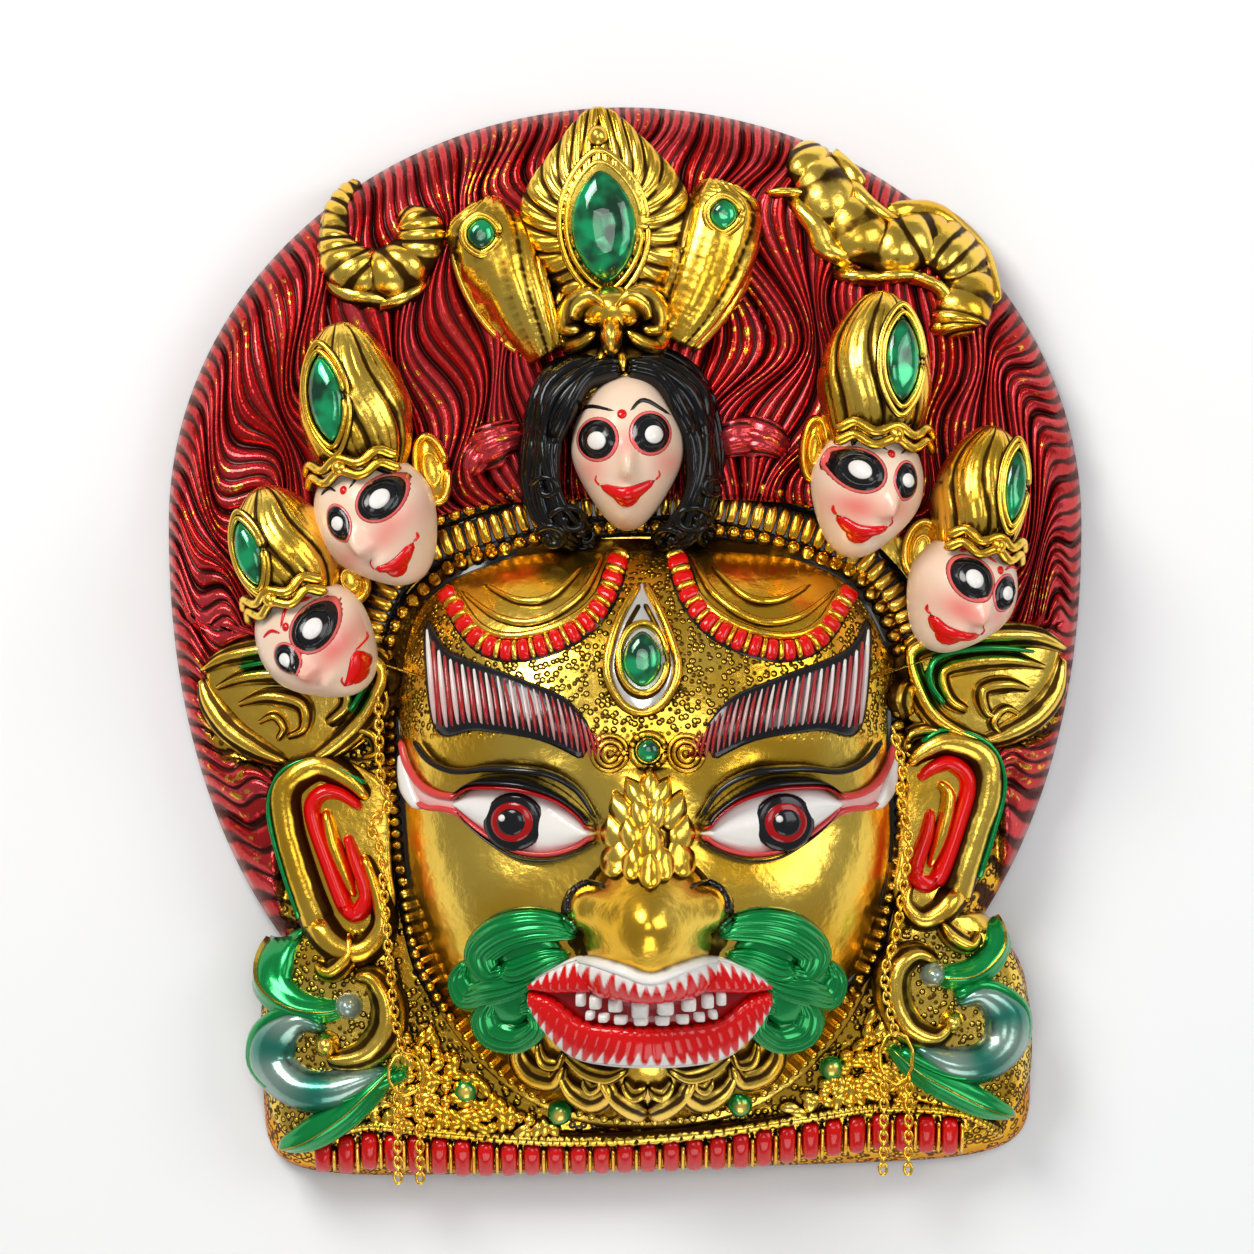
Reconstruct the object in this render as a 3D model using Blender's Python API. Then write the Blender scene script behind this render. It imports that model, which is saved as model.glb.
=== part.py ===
"""A repousse metal wall mask of a wrathful guardian with five small heads, lying on its back.

Run with: blender --background --python part.py
+Z is up and out of the mask's face, +Y runs to the crown and +X to the viewer's right.
Sizes below are millimetres, and make_mesh turns them into metres. The origin is under the middle
of the mask, on the plane of the hem that it rests on.
"""

import math

import bmesh
import bpy
import numpy as np
from mathutils import Matrix, Vector
from mathutils.bvhtree import BVHTree

MM = 0.001

# Outline of the sheet: the halo of hair above, and the collar with its shoulders below
HALO_CENTRE_Y = 48.0
HALO_HALF_WIDTH = 184.0
HALO_UP = 167.4
HALO_DOWN = 236.0
COLLAR_CENTRE = (8.0, -152.0)
COLLAR_HALF_WIDTH = 154.5
COLLAR_UP = 60.0
COLLAR_DOWN = 60.5
COLLAR_TILT = math.radians(1.6)

# Cross-section of the sheet
WALL = 2.4
HEM_WIDTH = 7.0
HEM_HEIGHT = 3.0
EDGE_RISE = 21.0
EDGE_RUN = 10.0
DOME_RISE = 18.0
DOME_REACH = (150.0, 170.0)
POLE = (8.0, -22.0)
FACE_ROOT = 4.0

# The great face, symmetric about its own axis
FACE_X = 9.0
FACE_Y = -40.0
FACE_HALF_WIDTH = 101.0
FACE_UP = 78.0
FACE_DOWN = 147.0
FACE_RISE = 50.0
EYE = (51.0, -70.5)
EYE_HALF = (27.0, 13.5)
NOSE_TIP_Y = -111.0
NOSE_HALF = (27.0, 31.0)
NOSE_HEIGHT = 27.0
NOSE_BULB = (17.0, 14.0, 7.0)
NOSE_FILL = 0.3
NOSTRIL = (25.0, -104.5)
NOSTRIL_HALF = (10.0, 9.0, 9.0)
BRIDGE_TOP = -50.0
MOUTH_Y = -145.0
UPPER_LIP = ((47, -134, 3), (33, -130.5, 6.5), (17, -129, 7.5), (4, -132, 6.5))
LOWER_LIP = ((44, -138, 3), (33, -147, 8), (17, -154, 10.5), (0, -156, 11))
TEETH = (30.0, 9.0, 6.5)

# Diadem over the great face: a barred band between two rows of beads, by the face's own level
BORDER_LEVEL = 1.03
BAND_LEVEL = 1.36
BAND_FOOT = -4.0

# Hair of the halo: locks that leave the face and bend up towards the crown at the rim
LOCKS = 40
LOCK_RISE = 5.6
LOCK_FROM = math.radians(-52.0)
LOCK_TO = math.radians(233.0)
SWEEP = 0.45
SPOKES_PER_LOCK = 8
HALO_FROM = 0.42
HALO_RINGS = 64

# Collar: a row of tongues between the rope and the edge
COLLAR_SPOKES = 210
TONGUES = 34
TONGUE_RISE = 3.0
TONGUES_FROM = -134.0
TONGUES_TO = 150.0

# Gap kept between a piece and what carries it
GAP = 0.3
STONE_GAP = 0.35
SEARCH_REACH = 170.0
SEARCH_STEPS = 170
ABOVE = 400.0

# Seats of the middle pieces, as heights of their flat backs
HEAD_SEAT = 39.0
CROWN_SEAT = 32.0
BOSS_SHRINK = 6.0
SEAT_MARGIN = 8.0
SEAT_DROP = 0.8
PLANE_TOP = 200.0
BOSS_DROP = 0.15
UNDERLAP = 1.6

# Faces that each slimmed block keeps
HALO_FACES = 2700
FACE_FACES = 1560
HOLLOW_FACES = 400
SIDE_HEAD_FACES = 240
CENTRE_HEAD_FACES = 310
CROWN_FACES = 290

# Ears, ear crests and shoulder scrolls: where each sits, left and right
EARS = {"left": (-116.0, -85.0), "right": (128.5, -76.0)}
CRESTS = {"left": (-133.0, -25.0), "right": (141.0, -16.0)}
SCROLLS = {"left": (-114.0, -153.0), "right": (132.0, -144.0)}
OUTWARD = {"left": -1.0, "right": 1.0}

# Each path is (outward, up, half-width) from its own place
HELIX = ((-13, 26, 4), (2, 34, 6), (16, 22, 6), (14, 2, 6), (8, -18, 6), (2, -32, 7), (-6, -38, 7),
         (-15, -34, 5))
EAR_FOLD = ((-12, 22, 3), (1, 26, 3.4), (7, 20, 3.4), (5, 4, 3.4), (-2, -17, 3.4), (-10, -23, 3.4),
            (-11, -12, 3.4), (-6, 3, 3), (-5, 14, 3))
UPPER_LEAF = ((12, 42, 1.5), (20, 31, 6), (22, 19, 9), (15, 10, 10), (5, 6, 8), (-5, 9, 6))
OUTER_SCROLL = ((2, -2, 4), (12, 2, 7), (23, -4, 9), (25, -14, 10), (19, -24, 10), (9, -28, 9),
                (-6, -24, 6), (-20, -14, 3))
INNER_SCROLL = ((-4, 22, 3), (-11, 22, 6), (-19, 15, 9), (-21, 5, 10), (-17, -6, 9), (-6, -12, 7),
                (3, -8, 3))
LOWER_LEAF = ((26, -45, 3), (10, -38, 9), (-6, -32, 9), (-21, -21, 7), (-29, -14, 3))
CREST_FRAME = ((-28, 22, 4), (-4, 24, 6), (20, 25, 8), (36, 19, 5), (30, 4, 7), (22, -10, 7),
               (8, -22, 6), (-4, -24, 3))
CREST_CURL = ((-24, 2, 5), (-8, 8, 6), (6, 4, 6), (8, -7, 5), (-1, -11, 4))
BROW = ((86, 5, 2), (83, -11, 9), (67, -22, 11.5), (51, -27, 11), (37, -32, 9.5), (26, -39, 4.5))
GARLAND = ((80, 17, 4), (66, 3, 4.5), (49, -2, 4.5), (30, 1, 4.5), (15, 13, 4), (6, 28, 3))
WHISKER_PADS = ((50, -116, 21, 12, 8), (62, -134, 15, 18, 7), (50, -150, 15, 11, 8))
PLATE = (45.0, 25.0, 33.0, 17.0)
ROPE = ((-132, -204, 2), (-103, -195, 2.6), (-50, -198, 2.6), (6, -199, 2.6), (60, -195, 2.6),
        (113, -185, 2.6), (146, -197, 2))
BEARD = ((47, -152, 6), (38, -168, 8), (22, -180, 9), (0, -185, 9))

# Serpents in the hair
SERPENT = ((68, 194, 10), (80, 180, 12), (91, 166, 11), (105, 158, 11), (119, 157, 11), (131, 147, 10),
           (136, 133, 8), (129, 123, 3))
COILED_SERPENT = ((-110, 184, 2), (-116, 171, 6), (-112, 157, 9), (-99, 152, 10), (-86, 160, 10),
                  (-83, 172, 8))
CRESCENT = ((-117, 160, 2), (-112, 147, 4), (-98, 141, 4.5), (-84, 145, 4), (-76, 156, 2))

# Settings in the sheet
DROP = {"centre": (7.0, -7.0), "half": (14.6, 22.0), "tip": 31.0, "height": 5.0}
BEAD_RING = {"centre": (9.0, -43.5), "half": (7.2, 7.2), "height": 6.0}
KNOBS = 15.5
KNOB_RADIUS = 7.0

# Stones: half width, half height, dome
DROP_STONE = (8.0, 11.8, 6.0)
ROOT_STONE = (4.6, 4.6, 3.4)
CROWN_STONE = (13.5, 23.0, 8.0)
PETAL_STONE = (5.8, 6.2, 3.6)
GIRDLE = 2.0

# The small heads: middle of the face, its half sizes and roll; the cap's top above that middle, half
# width and roll; the turn of both; the ear's middle and half sizes; the stone's height and half sizes
HEADS = {
    "left_upper": {
        "at": (-98.0, 48.6), "half": (24.5, 29.0), "face_roll": 34.0, "turn": -26.0,
        "cap": (80.0, 22.5), "roll": 12.0, "ear": (-77.0, 68.5), "ear_half": (6.7, 14.6),
        "stone_at": 50.0, "stone": (7.4, 16.8, 4.0), "seat": 37.5,
    },
    "left_lower": {
        "at": (-122.0, 0.8), "half": (23.0, 27.0), "face_roll": 48.0, "turn": -28.0,
        "cap": (65.0, 20.5), "roll": 21.0, "ear": (-109.5, 24.5), "ear_half": (7.0, 9.5),
        "stone_at": 41.5, "stone": (6.0, 13.2, 3.6), "seat": 36.0,
    },
    "right_upper": {
        "at": (95.6, 60.6), "half": (22.0, 28.0), "face_roll": -16.0, "turn": 24.0,
        "cap": (79.0, 23.0), "roll": -5.0, "ear": (75.5, 76.5), "ear_half": (5.0, 13.3),
        "stone_at": 52.0, "stone": (7.4, 16.4, 4.0), "seat": 37.5,
    },
    "right_lower": {
        "at": (133.0, 19.8), "half": (21.5, 26.0), "face_roll": -30.0, "turn": 26.0,
        "cap": (67.5, 18.5), "roll": -12.0, "ear": (118.0, 37.0), "ear_half": (7.0, 12.0),
        "stone_at": 45.0, "stone": (5.3, 14.2, 3.6), "seat": 36.0,
    },
}
CAP_FOOT = 0.3
HEM_PLACE = 0.68
CENTRE_HEAD = {"at": (1.0, 75.0), "half": (22.5, 31.0)}
HEAD_LIFT = 12.0
HEAD_CLEARANCE = 2.6
HEAD_DEPTH = 25.0
CAP_DEPTH = 22.0

# Hair of the centre head: middle from its face's, half sizes, height
HAIR_MASSES = (
    ((-4.0, 16.0), (36.0, 23.0), 24.0),
    ((-27.0, -8.0), (13.0, 31.0), 16.0),
    ((21.0, -8.0), (13.0, 31.0), 16.0),
)

# Crown: the great leaf, two small leaves and the lion mask at the foot
CROWN_LEAF = {"at": (-8.0, 171.0), "half": (34.0, 43.0, 17.0), "roll": 4.0}
PETALS = {
    "left": {"foot": (-22.0, 118.0), "tip": (-57.0, 163.0), "half": 13.0},
    "right": {"foot": (25.0, 118.0), "tip": (39.0, 171.0), "half": 13.0},
}
LION = {"at": (-4.0, 127.0), "half": (22.0, 17.0, 24.0)}

# Ear chains: drop wire, ring and doubled end
CHAIN_WIRE = 2.0
CHAIN_CLEARANCE = 0.8
CHAINS = {
    "left": {"top": (-99.0, -20.0), "ring": (-88.6, -170.0), "end": -203.0},
    "right": {"top": (107.0, -36.0), "ring": (108.0, -166.0), "end": -198.0},
}
RING_HALF = (6.0, 9.0)
DOUBLE_SPREAD = 4.0
DROP_POINTS = 13
RING_POINTS = 8
LOOP_POINTS = 12


def smooth_step(low, high, value):
    t = np.clip((value - low) / (high - low), 0.0, 1.0)
    return t * t * (3.0 - 2.0 * t)


def round_level(x, y, centre, half, power=2.0):
    """0 at the centre of a superellipse and 1 on its edge."""
    u = np.abs(x - centre[0]) / half[0]
    v = np.abs(y - centre[1]) / half[1]
    return (u**power + v**power) ** (1.0 / power)


def pad(level, height, power=2.0):
    """A pillow of that height over the inside of a level."""
    return height * np.sqrt(np.clip(1.0 - np.clip(level, 0.0, 1.0) ** power, 0.0, 1.0))


def smooth_path(points, steps=8):
    """Points of a Catmull-Rom curve through the given ones, with their widths."""
    p = np.array(points, float)
    p = np.vstack([2 * p[0] - p[1], p, 2 * p[-1] - p[-2]])
    made = []
    for a, b, c, d in zip(p, p[1:], p[2:], p[3:]):
        for t in np.linspace(0.0, 1.0, steps, endpoint=False):
            made.append(0.5 * (2 * b + (c - a) * t + (2 * a - 5 * b + 4 * c - d) * t**2
                               + (3 * b - a - 3 * c + d) * t**3))
    made.append(p[-2])
    return np.array(made)


def roll_height(x, y, path, height):
    """A round-backed roll along a path of (x, y, half-width), as high as asked where it is widest."""
    pts = smooth_path(path)
    widest = pts[:, 2].max()
    best = np.zeros_like(x)
    for a, b in zip(pts, pts[1:]):
        run = b[:2] - a[:2]
        t = np.clip(((x - a[0]) * run[0] + (y - a[1]) * run[1]) / max(run @ run, 1e-9), 0.0, 1.0)
        away = np.hypot(x - a[0] - t * run[0], y - a[1] - t * run[1])
        width = np.maximum(a[2] + t * (b[2] - a[2]), 0.1)
        rise = height * np.sqrt(width / widest) * np.sqrt(np.clip(1.0 - (away / width) ** 2, 0.0, 1.0))
        best = np.maximum(best, rise)
    return best


def placed(path, at, outward):
    """A local path moved to its place, mirrored for the left side."""
    return [(at[0] + outward * u, at[1] + v, w) for u, v, w in path]


def outline_level(x, y):
    """Below 1 inside the sheet: the halo of hair, or the collar and shoulders."""
    up = round_level(x, y, (0.0, HALO_CENTRE_Y), (HALO_HALF_WIDTH, HALO_UP))
    down = round_level(x, y, (0.0, HALO_CENTRE_Y), (HALO_HALF_WIDTH, HALO_DOWN), 2.2)
    halo = np.where(y > HALO_CENTRE_Y, up, down)
    dx, dy = x - COLLAR_CENTRE[0], y - COLLAR_CENTRE[1]
    u = dx * math.cos(COLLAR_TILT) + dy * math.sin(COLLAR_TILT)
    v = dy * math.cos(COLLAR_TILT) - dx * math.sin(COLLAR_TILT)
    shoulder = round_level(u, v, (0.0, 0.0), (COLLAR_HALF_WIDTH, COLLAR_UP), 2.6)
    base = round_level(u, v, (0.0, 0.0), (COLLAR_HALF_WIDTH, COLLAR_DOWN), 8.0)
    return np.minimum(halo, np.where(v > 0.0, shoulder, base))


def outline_radius(angle):
    """Distance from the pole to the sheet's edge in each direction."""
    near, far = np.full_like(angle, 60.0), np.full_like(angle, 320.0)
    for _ in range(40):
        middle = (near + far) / 2.0
        level = outline_level(POLE[0] + middle * np.cos(angle), POLE[1] + middle * np.sin(angle))
        near, far = np.where(level < 1.0, middle, near), np.where(level < 1.0, far, middle)
    return near


def face_level(x, y):
    """0 at the middle of the great face and 1 on its border."""
    up = round_level(x, y, (FACE_X, FACE_Y), (FACE_HALF_WIDTH, FACE_UP), 3.6)
    down = round_level(x, y, (FACE_X, FACE_Y), (FACE_HALF_WIDTH, FACE_DOWN), 2.3)
    return np.where(y > FACE_Y, up, down)


def mirrored(x):
    """Distance out from the great face's axis."""
    return np.abs(x - FACE_X)


def bump(u, v, height, reach):
    return height * np.exp(-(u / reach) ** 2 - (v / reach) ** 2)


def base_form(x, y, inside):
    """Height of the beaten halo and collar without the great face, inside being the way to the edge."""
    z = HEM_HEIGHT + EDGE_RISE * (1.0 - np.exp(-np.clip(inside, 0.0, None) / EDGE_RUN))
    return z + DOME_RISE * np.exp(-((x - FACE_X) / DOME_REACH[0]) ** 2 - ((y - FACE_Y) / DOME_REACH[1]) ** 2)


def nose_form(u, y):
    """Height of the nose: ridge, body, round tip and wings."""
    body = NOSE_HEIGHT * np.clip(1.0 - round_level(u, y, (0.0, NOSE_TIP_Y), NOSE_HALF) ** 2, 0.0, 1.0) ** 0.85
    bulb = pad(round_level(u, y, (0.0, NOSE_TIP_Y - 1.0), NOSE_BULB[:2]), NOSE_BULB[2])
    wing = pad(round_level(u, y, NOSTRIL, NOSTRIL_HALF[:2]), NOSTRIL_HALF[2])
    up = np.clip((BRIDGE_TOP - y) / (BRIDGE_TOP - NOSE_TIP_Y), 0.0, 1.0)
    ridge = NOSE_HEIGHT * 0.9 * up**0.8 * np.exp(-(u / 12.0) ** 2)
    ridge = ridge * smooth_step(NOSE_TIP_Y - 8.0, NOSE_TIP_Y, y)
    return np.maximum(np.maximum(body + bulb, ridge), wing)


def face_form(x, y):
    """Height that the great face adds to the sheet: a high dome with nose, sockets, cheeks and chin."""
    u = mirrored(x)
    level = np.clip(face_level(x, y), 0.0, 1.0)
    z = FACE_RISE * (1.0 - level**3) ** 0.72
    z = z + nose_form(u, y)
    z = z - bump((u - EYE[0]) * 0.62, y - EYE[1], 6.0, 19.0)
    z = z + bump((u - 48.0) * 0.6, y + 36.0, 6.0, 15.0)
    z = z + bump(u - 62.0, y + 108.0, 5.0, 28.0)
    z = z + bump(u * 0.55, y - MOUTH_Y, 12.0, 24.0)
    return z + bump(u * 0.8, y + 176.0, 14.0, 16.0)


def main_form(x, y, inside):
    return base_form(x, y, inside) + face_form(x, y)


def almond(u, y):
    """0 along the middle of the eye and 1 on its lids, with the inner corner lower."""
    v = y - EYE[1] - 0.16 * (u - EYE[0])
    return np.abs((u - EYE[0]) / EYE_HALF[0]) ** 2.0 + np.abs(v / EYE_HALF[1]) ** 1.7


def face_relief(x, y):
    """Eyes, lids, brows, whiskers, lips and the forehead's ornament."""
    u = mirrored(x)
    eye = almond(u, y)
    parts = [
        pad(eye, 9.5, 1.0),
        pad(np.abs(eye - 1.15) / 0.35, 3.6),
        roll_height(u, y, BROW, 6.5),
        roll_height(u, y, GARLAND, 5.5),
        pad(round_level(u, y, PLATE[:2], PLATE[2:]), 4.5) * (y < PLATE[1] + 9.0),
        pad(round_level(u, y, (KNOBS, BEAD_RING["centre"][1]), (KNOB_RADIUS, KNOB_RADIUS)), 7.0),
        pad(round_level(u, y, (0.0, BEAD_RING["centre"][1]), BEAD_RING["half"]), BEAD_RING["height"], 6),
        pad(round_level(u, y, (0.0, -74.0), (12.0, 21.0)), 5.0) * (1.0 + 0.25 * np.cos(y * 0.7)),
        roll_height(u, y, BEARD, 7.0),
    ]
    for cu, cv, hu, hv, height in WHISKER_PADS:
        level = round_level(u, y, (cu, cv), (hu, hv))
        parts.append(pad(level, height) * (1.0 + 0.16 * np.cos(level * 19.0)))
    drop_half = np.where(y > DROP["centre"][1], DROP["tip"], DROP["half"][1])
    taper = np.where(y > DROP["centre"][1], 1.3, 2.0)
    drop = (np.abs(x - DROP["centre"][0]) / DROP["half"][0]) ** 1.6
    drop = drop + (np.abs(y - DROP["centre"][1]) / drop_half) ** taper
    parts.append(pad(drop, DROP["height"], 4.0))
    parts.append(roll_height(u, y, UPPER_LIP, 9.0))
    parts.append(roll_height(u, y, LOWER_LIP, 11.0))
    parts.append(pad(round_level(u, y, (0.0, MOUTH_Y + 3.0), TEETH[:2]), TEETH[2], 4.0))
    return np.maximum.reduce(parts)


def band_relief(x, y):
    """The beaded border round the great face and the barred diadem over it."""
    level = face_level(x, y)
    border = pad(np.abs(level - BORDER_LEVEL) / 0.04, 4.0)
    above = smooth_step(BAND_FOOT, BAND_FOOT + 12.0, y)
    outer = pad(np.abs(level - BAND_LEVEL) / 0.05, 4.6) * above
    field = 2.6 * above * smooth_step(1.05, 1.09, level) * (1.0 - smooth_step(1.33, 1.37, level))
    return np.maximum.reduce([border, outer, field])


def side_relief(x, y, side):
    """Height of one ear with its crest, and the scroll on the shoulder under it."""
    outward = OUTWARD[side]
    ear, crest, scroll = EARS[side], CRESTS[side], SCROLLS[side]
    parts = [pad(round_level(x, y, (ear[0], ear[1] - 2.0), (20.0, 40.0), 2.6), 4.5, 5.0)]
    parts.append(roll_height(x, y, placed(HELIX, ear, outward), 11.0))
    parts.append(roll_height(x, y, placed(EAR_FOLD, ear, outward), 8.0))
    parts.append(roll_height(x, y, placed(CREST_FRAME, crest, outward), 10.0))
    parts.append(roll_height(x, y, placed(CREST_CURL, crest, outward), 9.0))
    for path, height in ((UPPER_LEAF, 11.0), (OUTER_SCROLL, 11.0), (INNER_SCROLL, 9.0), (LOWER_LEAF, 9.0)):
        parts.append(roll_height(x, y, placed(path, scroll, outward), height))
    return np.maximum.reduce(parts)


def inside_edge(x, y):
    """Distance in from the sheet's edge, along the line to the pole."""
    angle = np.arctan2(y - POLE[1], x - POLE[0])
    return outline_radius(angle) - np.hypot(x - POLE[0], y - POLE[1])


def hollow_back(x, y, inside):
    """Height of the sheet's back: the main form less the wall, measured square to the surface."""
    step = 1.0
    z = main_form(x, y, inside)
    away = np.hypot(x - POLE[0], y - POLE[1]) + 1e-6
    nx, ny = (x - POLE[0]) / away, (y - POLE[1]) / away
    slope = (main_form(x + nx * step, y + ny * step, inside - step) - z) / step
    z = z - WALL * np.minimum(np.sqrt(1.0 + slope**2), 2.4) - NOSE_FILL * nose_form(mirrored(x), y)
    for seat, level, _ in seat_outlines(x, y):
        z = np.where(level < 1.2, np.minimum(z, seat - SEAT_DROP - WALL), z)
    return z


def make_mesh(name, points, faces, colour, metallic=1.0, roughness=0.3):
    """An object from millimetre points, with its own material."""
    mesh = bpy.data.meshes.new(name)
    mesh.from_pydata([tuple(np.array(p) * MM) for p in points], [], faces)
    return finish_object(name, mesh, colour, metallic, roughness)


def finish_object(name, mesh, colour, metallic=1.0, roughness=0.3):
    """Links a mesh as a named object with a plain Principled material."""
    obj = bpy.data.objects.new(name, mesh)
    material = bpy.data.materials.new(name)
    material.use_nodes = True
    shader = material.node_tree.nodes["Principled BSDF"]
    shader.inputs["Base Color"].default_value = (*colour, 1.0)
    shader.inputs["Metallic"].default_value = metallic
    shader.inputs["Roughness"].default_value = roughness
    mesh.materials.append(material)
    bpy.data.collections["metal_mask"].objects.link(obj)
    return obj


def as_cutter(obj):
    """Keeps an object only as a tool for Booleans."""
    obj.hide_render = True
    obj.display_type = "WIRE"
    bpy.data.collections["metal_mask"].objects.unlink(obj)
    bpy.data.collections["cutters"].objects.link(obj)
    return obj


def boolean(obj, other, operation):
    modifier = obj.modifiers.new(f"{operation.lower()}_{other.name}", "BOOLEAN")
    modifier.operation = operation
    modifier.object = other
    modifier.solver = "EXACT"


def slimmed(shape, faces):
    """The same sheet of faces with only about that many triangles, kept where the form turns."""
    mesh = bpy.data.meshes.new("sheet")
    shape.to_mesh(mesh)
    shape.free()
    obj = bpy.data.objects.new("sheet", mesh)
    bpy.data.collections["cutters"].objects.link(obj)
    triangles = sum(len(face.vertices) - 2 for face in mesh.polygons)
    modifier = obj.modifiers.new("slim", "DECIMATE")
    modifier.ratio = faces / triangles
    bpy.context.view_layer.update()
    reduced = bpy.data.meshes.new_from_object(obj.evaluated_get(bpy.context.evaluated_depsgraph_get()))
    bpy.data.objects.remove(obj)
    made = bmesh.new()
    made.from_mesh(reduced)
    return made


def close_below(shape, top, bottom):
    """Closes a sheet of faces into a block with one flat face below, at a height in millimetres."""
    edge = [e for e in shape.edges if e.is_boundary]
    made = bmesh.ops.extrude_edge_only(shape, edges=edge)["geom"]
    for v in (g for g in made if isinstance(g, bmesh.types.BMVert)):
        v.co.z = bottom * MM
    bmesh.ops.contextual_create(shape, geom=[g for g in made if isinstance(g, bmesh.types.BMEdge)])
    bmesh.ops.triangulate(shape, faces=top)
    bmesh.ops.recalc_face_normals(shape, faces=shape.faces)


def ring_grid(spokes, shares):
    """A sheet of rings at those shares of a unit circle, closed at the middle by a fan."""
    shape = bmesh.new()
    bmesh.ops.create_circle(shape, cap_ends=False, segments=spokes, radius=1.0)
    rim_edges = list(shape.edges)
    for share in shares[1:]:
        made = bmesh.ops.extrude_edge_only(shape, edges=rim_edges)["geom"]
        rim_edges = [g for g in made if isinstance(g, bmesh.types.BMEdge)]
        for v in (g for g in made if isinstance(g, bmesh.types.BMVert)):
            v.co = v.co.normalized() * share
    bmesh.ops.contextual_create(shape, geom=rim_edges)
    bmesh.ops.poke(shape, faces=[f for f in shape.faces if len(f.verts) > 4])
    co = np.array([v.co for v in shape.verts])
    return shape, np.hypot(co[:, 0], co[:, 1]), np.arctan2(co[:, 1], co[:, 0])


def block_from(shape, name, x, y, z, bottom, faces, colour, metallic):
    """Moves a grid's points to millimetre places, slims it and closes it below as an object."""
    for v, point in zip(list(shape.verts), np.stack([x, y, z], axis=1)):
        v.co = Vector(point) * MM
    shape = slimmed(shape, faces)
    close_below(shape, list(shape.faces), bottom)
    mesh = bpy.data.meshes.new(name)
    shape.to_mesh(mesh)
    shape.free()
    return finish_object(name, mesh, colour, metallic)


def polar_block(name, height_of, pole, radii, rings, bottom, faces, colour, metallic=1.0, inset=0.0):
    """A closed block under a height function: rings about the pole out to its radii, flat below.

    height_of takes x, y and the distance in from the radii. The first radius points to -X.
    """
    angles = np.linspace(-math.pi, math.pi, len(radii), endpoint=False)
    shape, share, angle = ring_grid(len(radii), np.linspace(1.0, 0.0, rings + 1)[:-1])
    reach = np.interp(angle, np.append(angles, math.pi), np.append(radii, radii[0])) - inset
    x, y = pole[0] + share * reach * np.cos(angle), pole[1] + share * reach * np.sin(angle)
    z = height_of(x, y, (1.0 - share) * reach + inset)
    return block_from(shape, name, x, y, z, bottom, faces, colour, metallic)


def reach_of(held, pole, spokes):
    """How far from a pole, in each direction, a test of x and y still holds."""
    angles = np.linspace(-math.pi, math.pi, spokes, endpoint=False)
    steps = np.linspace(0.0, 1.0, SEARCH_STEPS + 1)[1:, None] * SEARCH_REACH
    near = np.where(held(pole[0] + steps * np.cos(angles), pole[1] + steps * np.sin(angles)), steps, 0.0)
    near = near.max(axis=0)
    far = near + SEARCH_REACH / SEARCH_STEPS
    for _ in range(12):
        middle = (near + far) / 2.0
        holds = held(pole[0] + middle * np.cos(angles), pole[1] + middle * np.sin(angles))
        near, far = np.where(holds, middle, near), np.where(holds, far, middle)
    return near


def seated_block(name, height_of, pole, seat, spokes, rings, faces, colour, metallic=1.0):
    """A slimmed block on a flat seat, out to where its height function falls to the seat."""
    radii = reach_of(lambda x, y: height_of(x, y) > seat + GAP, pole, spokes)
    least = seat + GAP + 0.8

    def lifted(x, y, inside):
        return np.maximum(height_of(x, y), least)

    return polar_block(name, lifted, pole, radii, rings, seat + GAP, faces, colour, metallic)


def highest_inside(level_of, x, y, low, high, steps=48):
    """The highest z at each place where a solid's level is below 1, or the low end where none is."""
    top = np.full(np.shape(x), low)
    for z in np.linspace(low, high, steps):
        top = np.where(level_of(x, y, np.full(np.shape(x), z)) < 1.0, z, top)
    step = (high - low) / (steps - 1)
    near, far = top, top + step
    for _ in range(8):
        middle = (near + far) / 2.0
        inside = level_of(x, y, middle) < 1.0
        near, far = np.where(inside, middle, near), np.where(inside, far, middle)
    return np.where(top > low, near, low)


def oval_prism(name, half, low, high, matrix=None, sides=16, pointed=0.0, power=2.0):
    """An upright prism on an oval, on a leaf with pointed ends, or on a rounded square of higher power."""
    angles = np.arange(sides) * 2 * math.pi / sides + math.pi / 2
    narrow = 1.0 - pointed * np.abs(np.sin(angles)) ** 3
    along = np.sign(np.cos(angles)) * np.abs(np.cos(angles)) ** (2.0 / power)
    up = np.sign(np.sin(angles)) * np.abs(np.sin(angles)) ** (2.0 / power)
    ring = np.stack([half[0] * along * narrow, half[1] * up], axis=1)
    points = [(x, y, z) for z in (low, high) for x, y in ring]
    faces = [tuple(range(sides))[::-1], tuple(range(sides, 2 * sides))]
    faces += [(i, (i + 1) % sides, sides + (i + 1) % sides, sides + i) for i in range(sides)]
    obj = make_mesh(name, points, faces, (0.5, 0.5, 0.5))
    if matrix is not None:
        obj.data.transform(matrix)
    return obj


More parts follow.
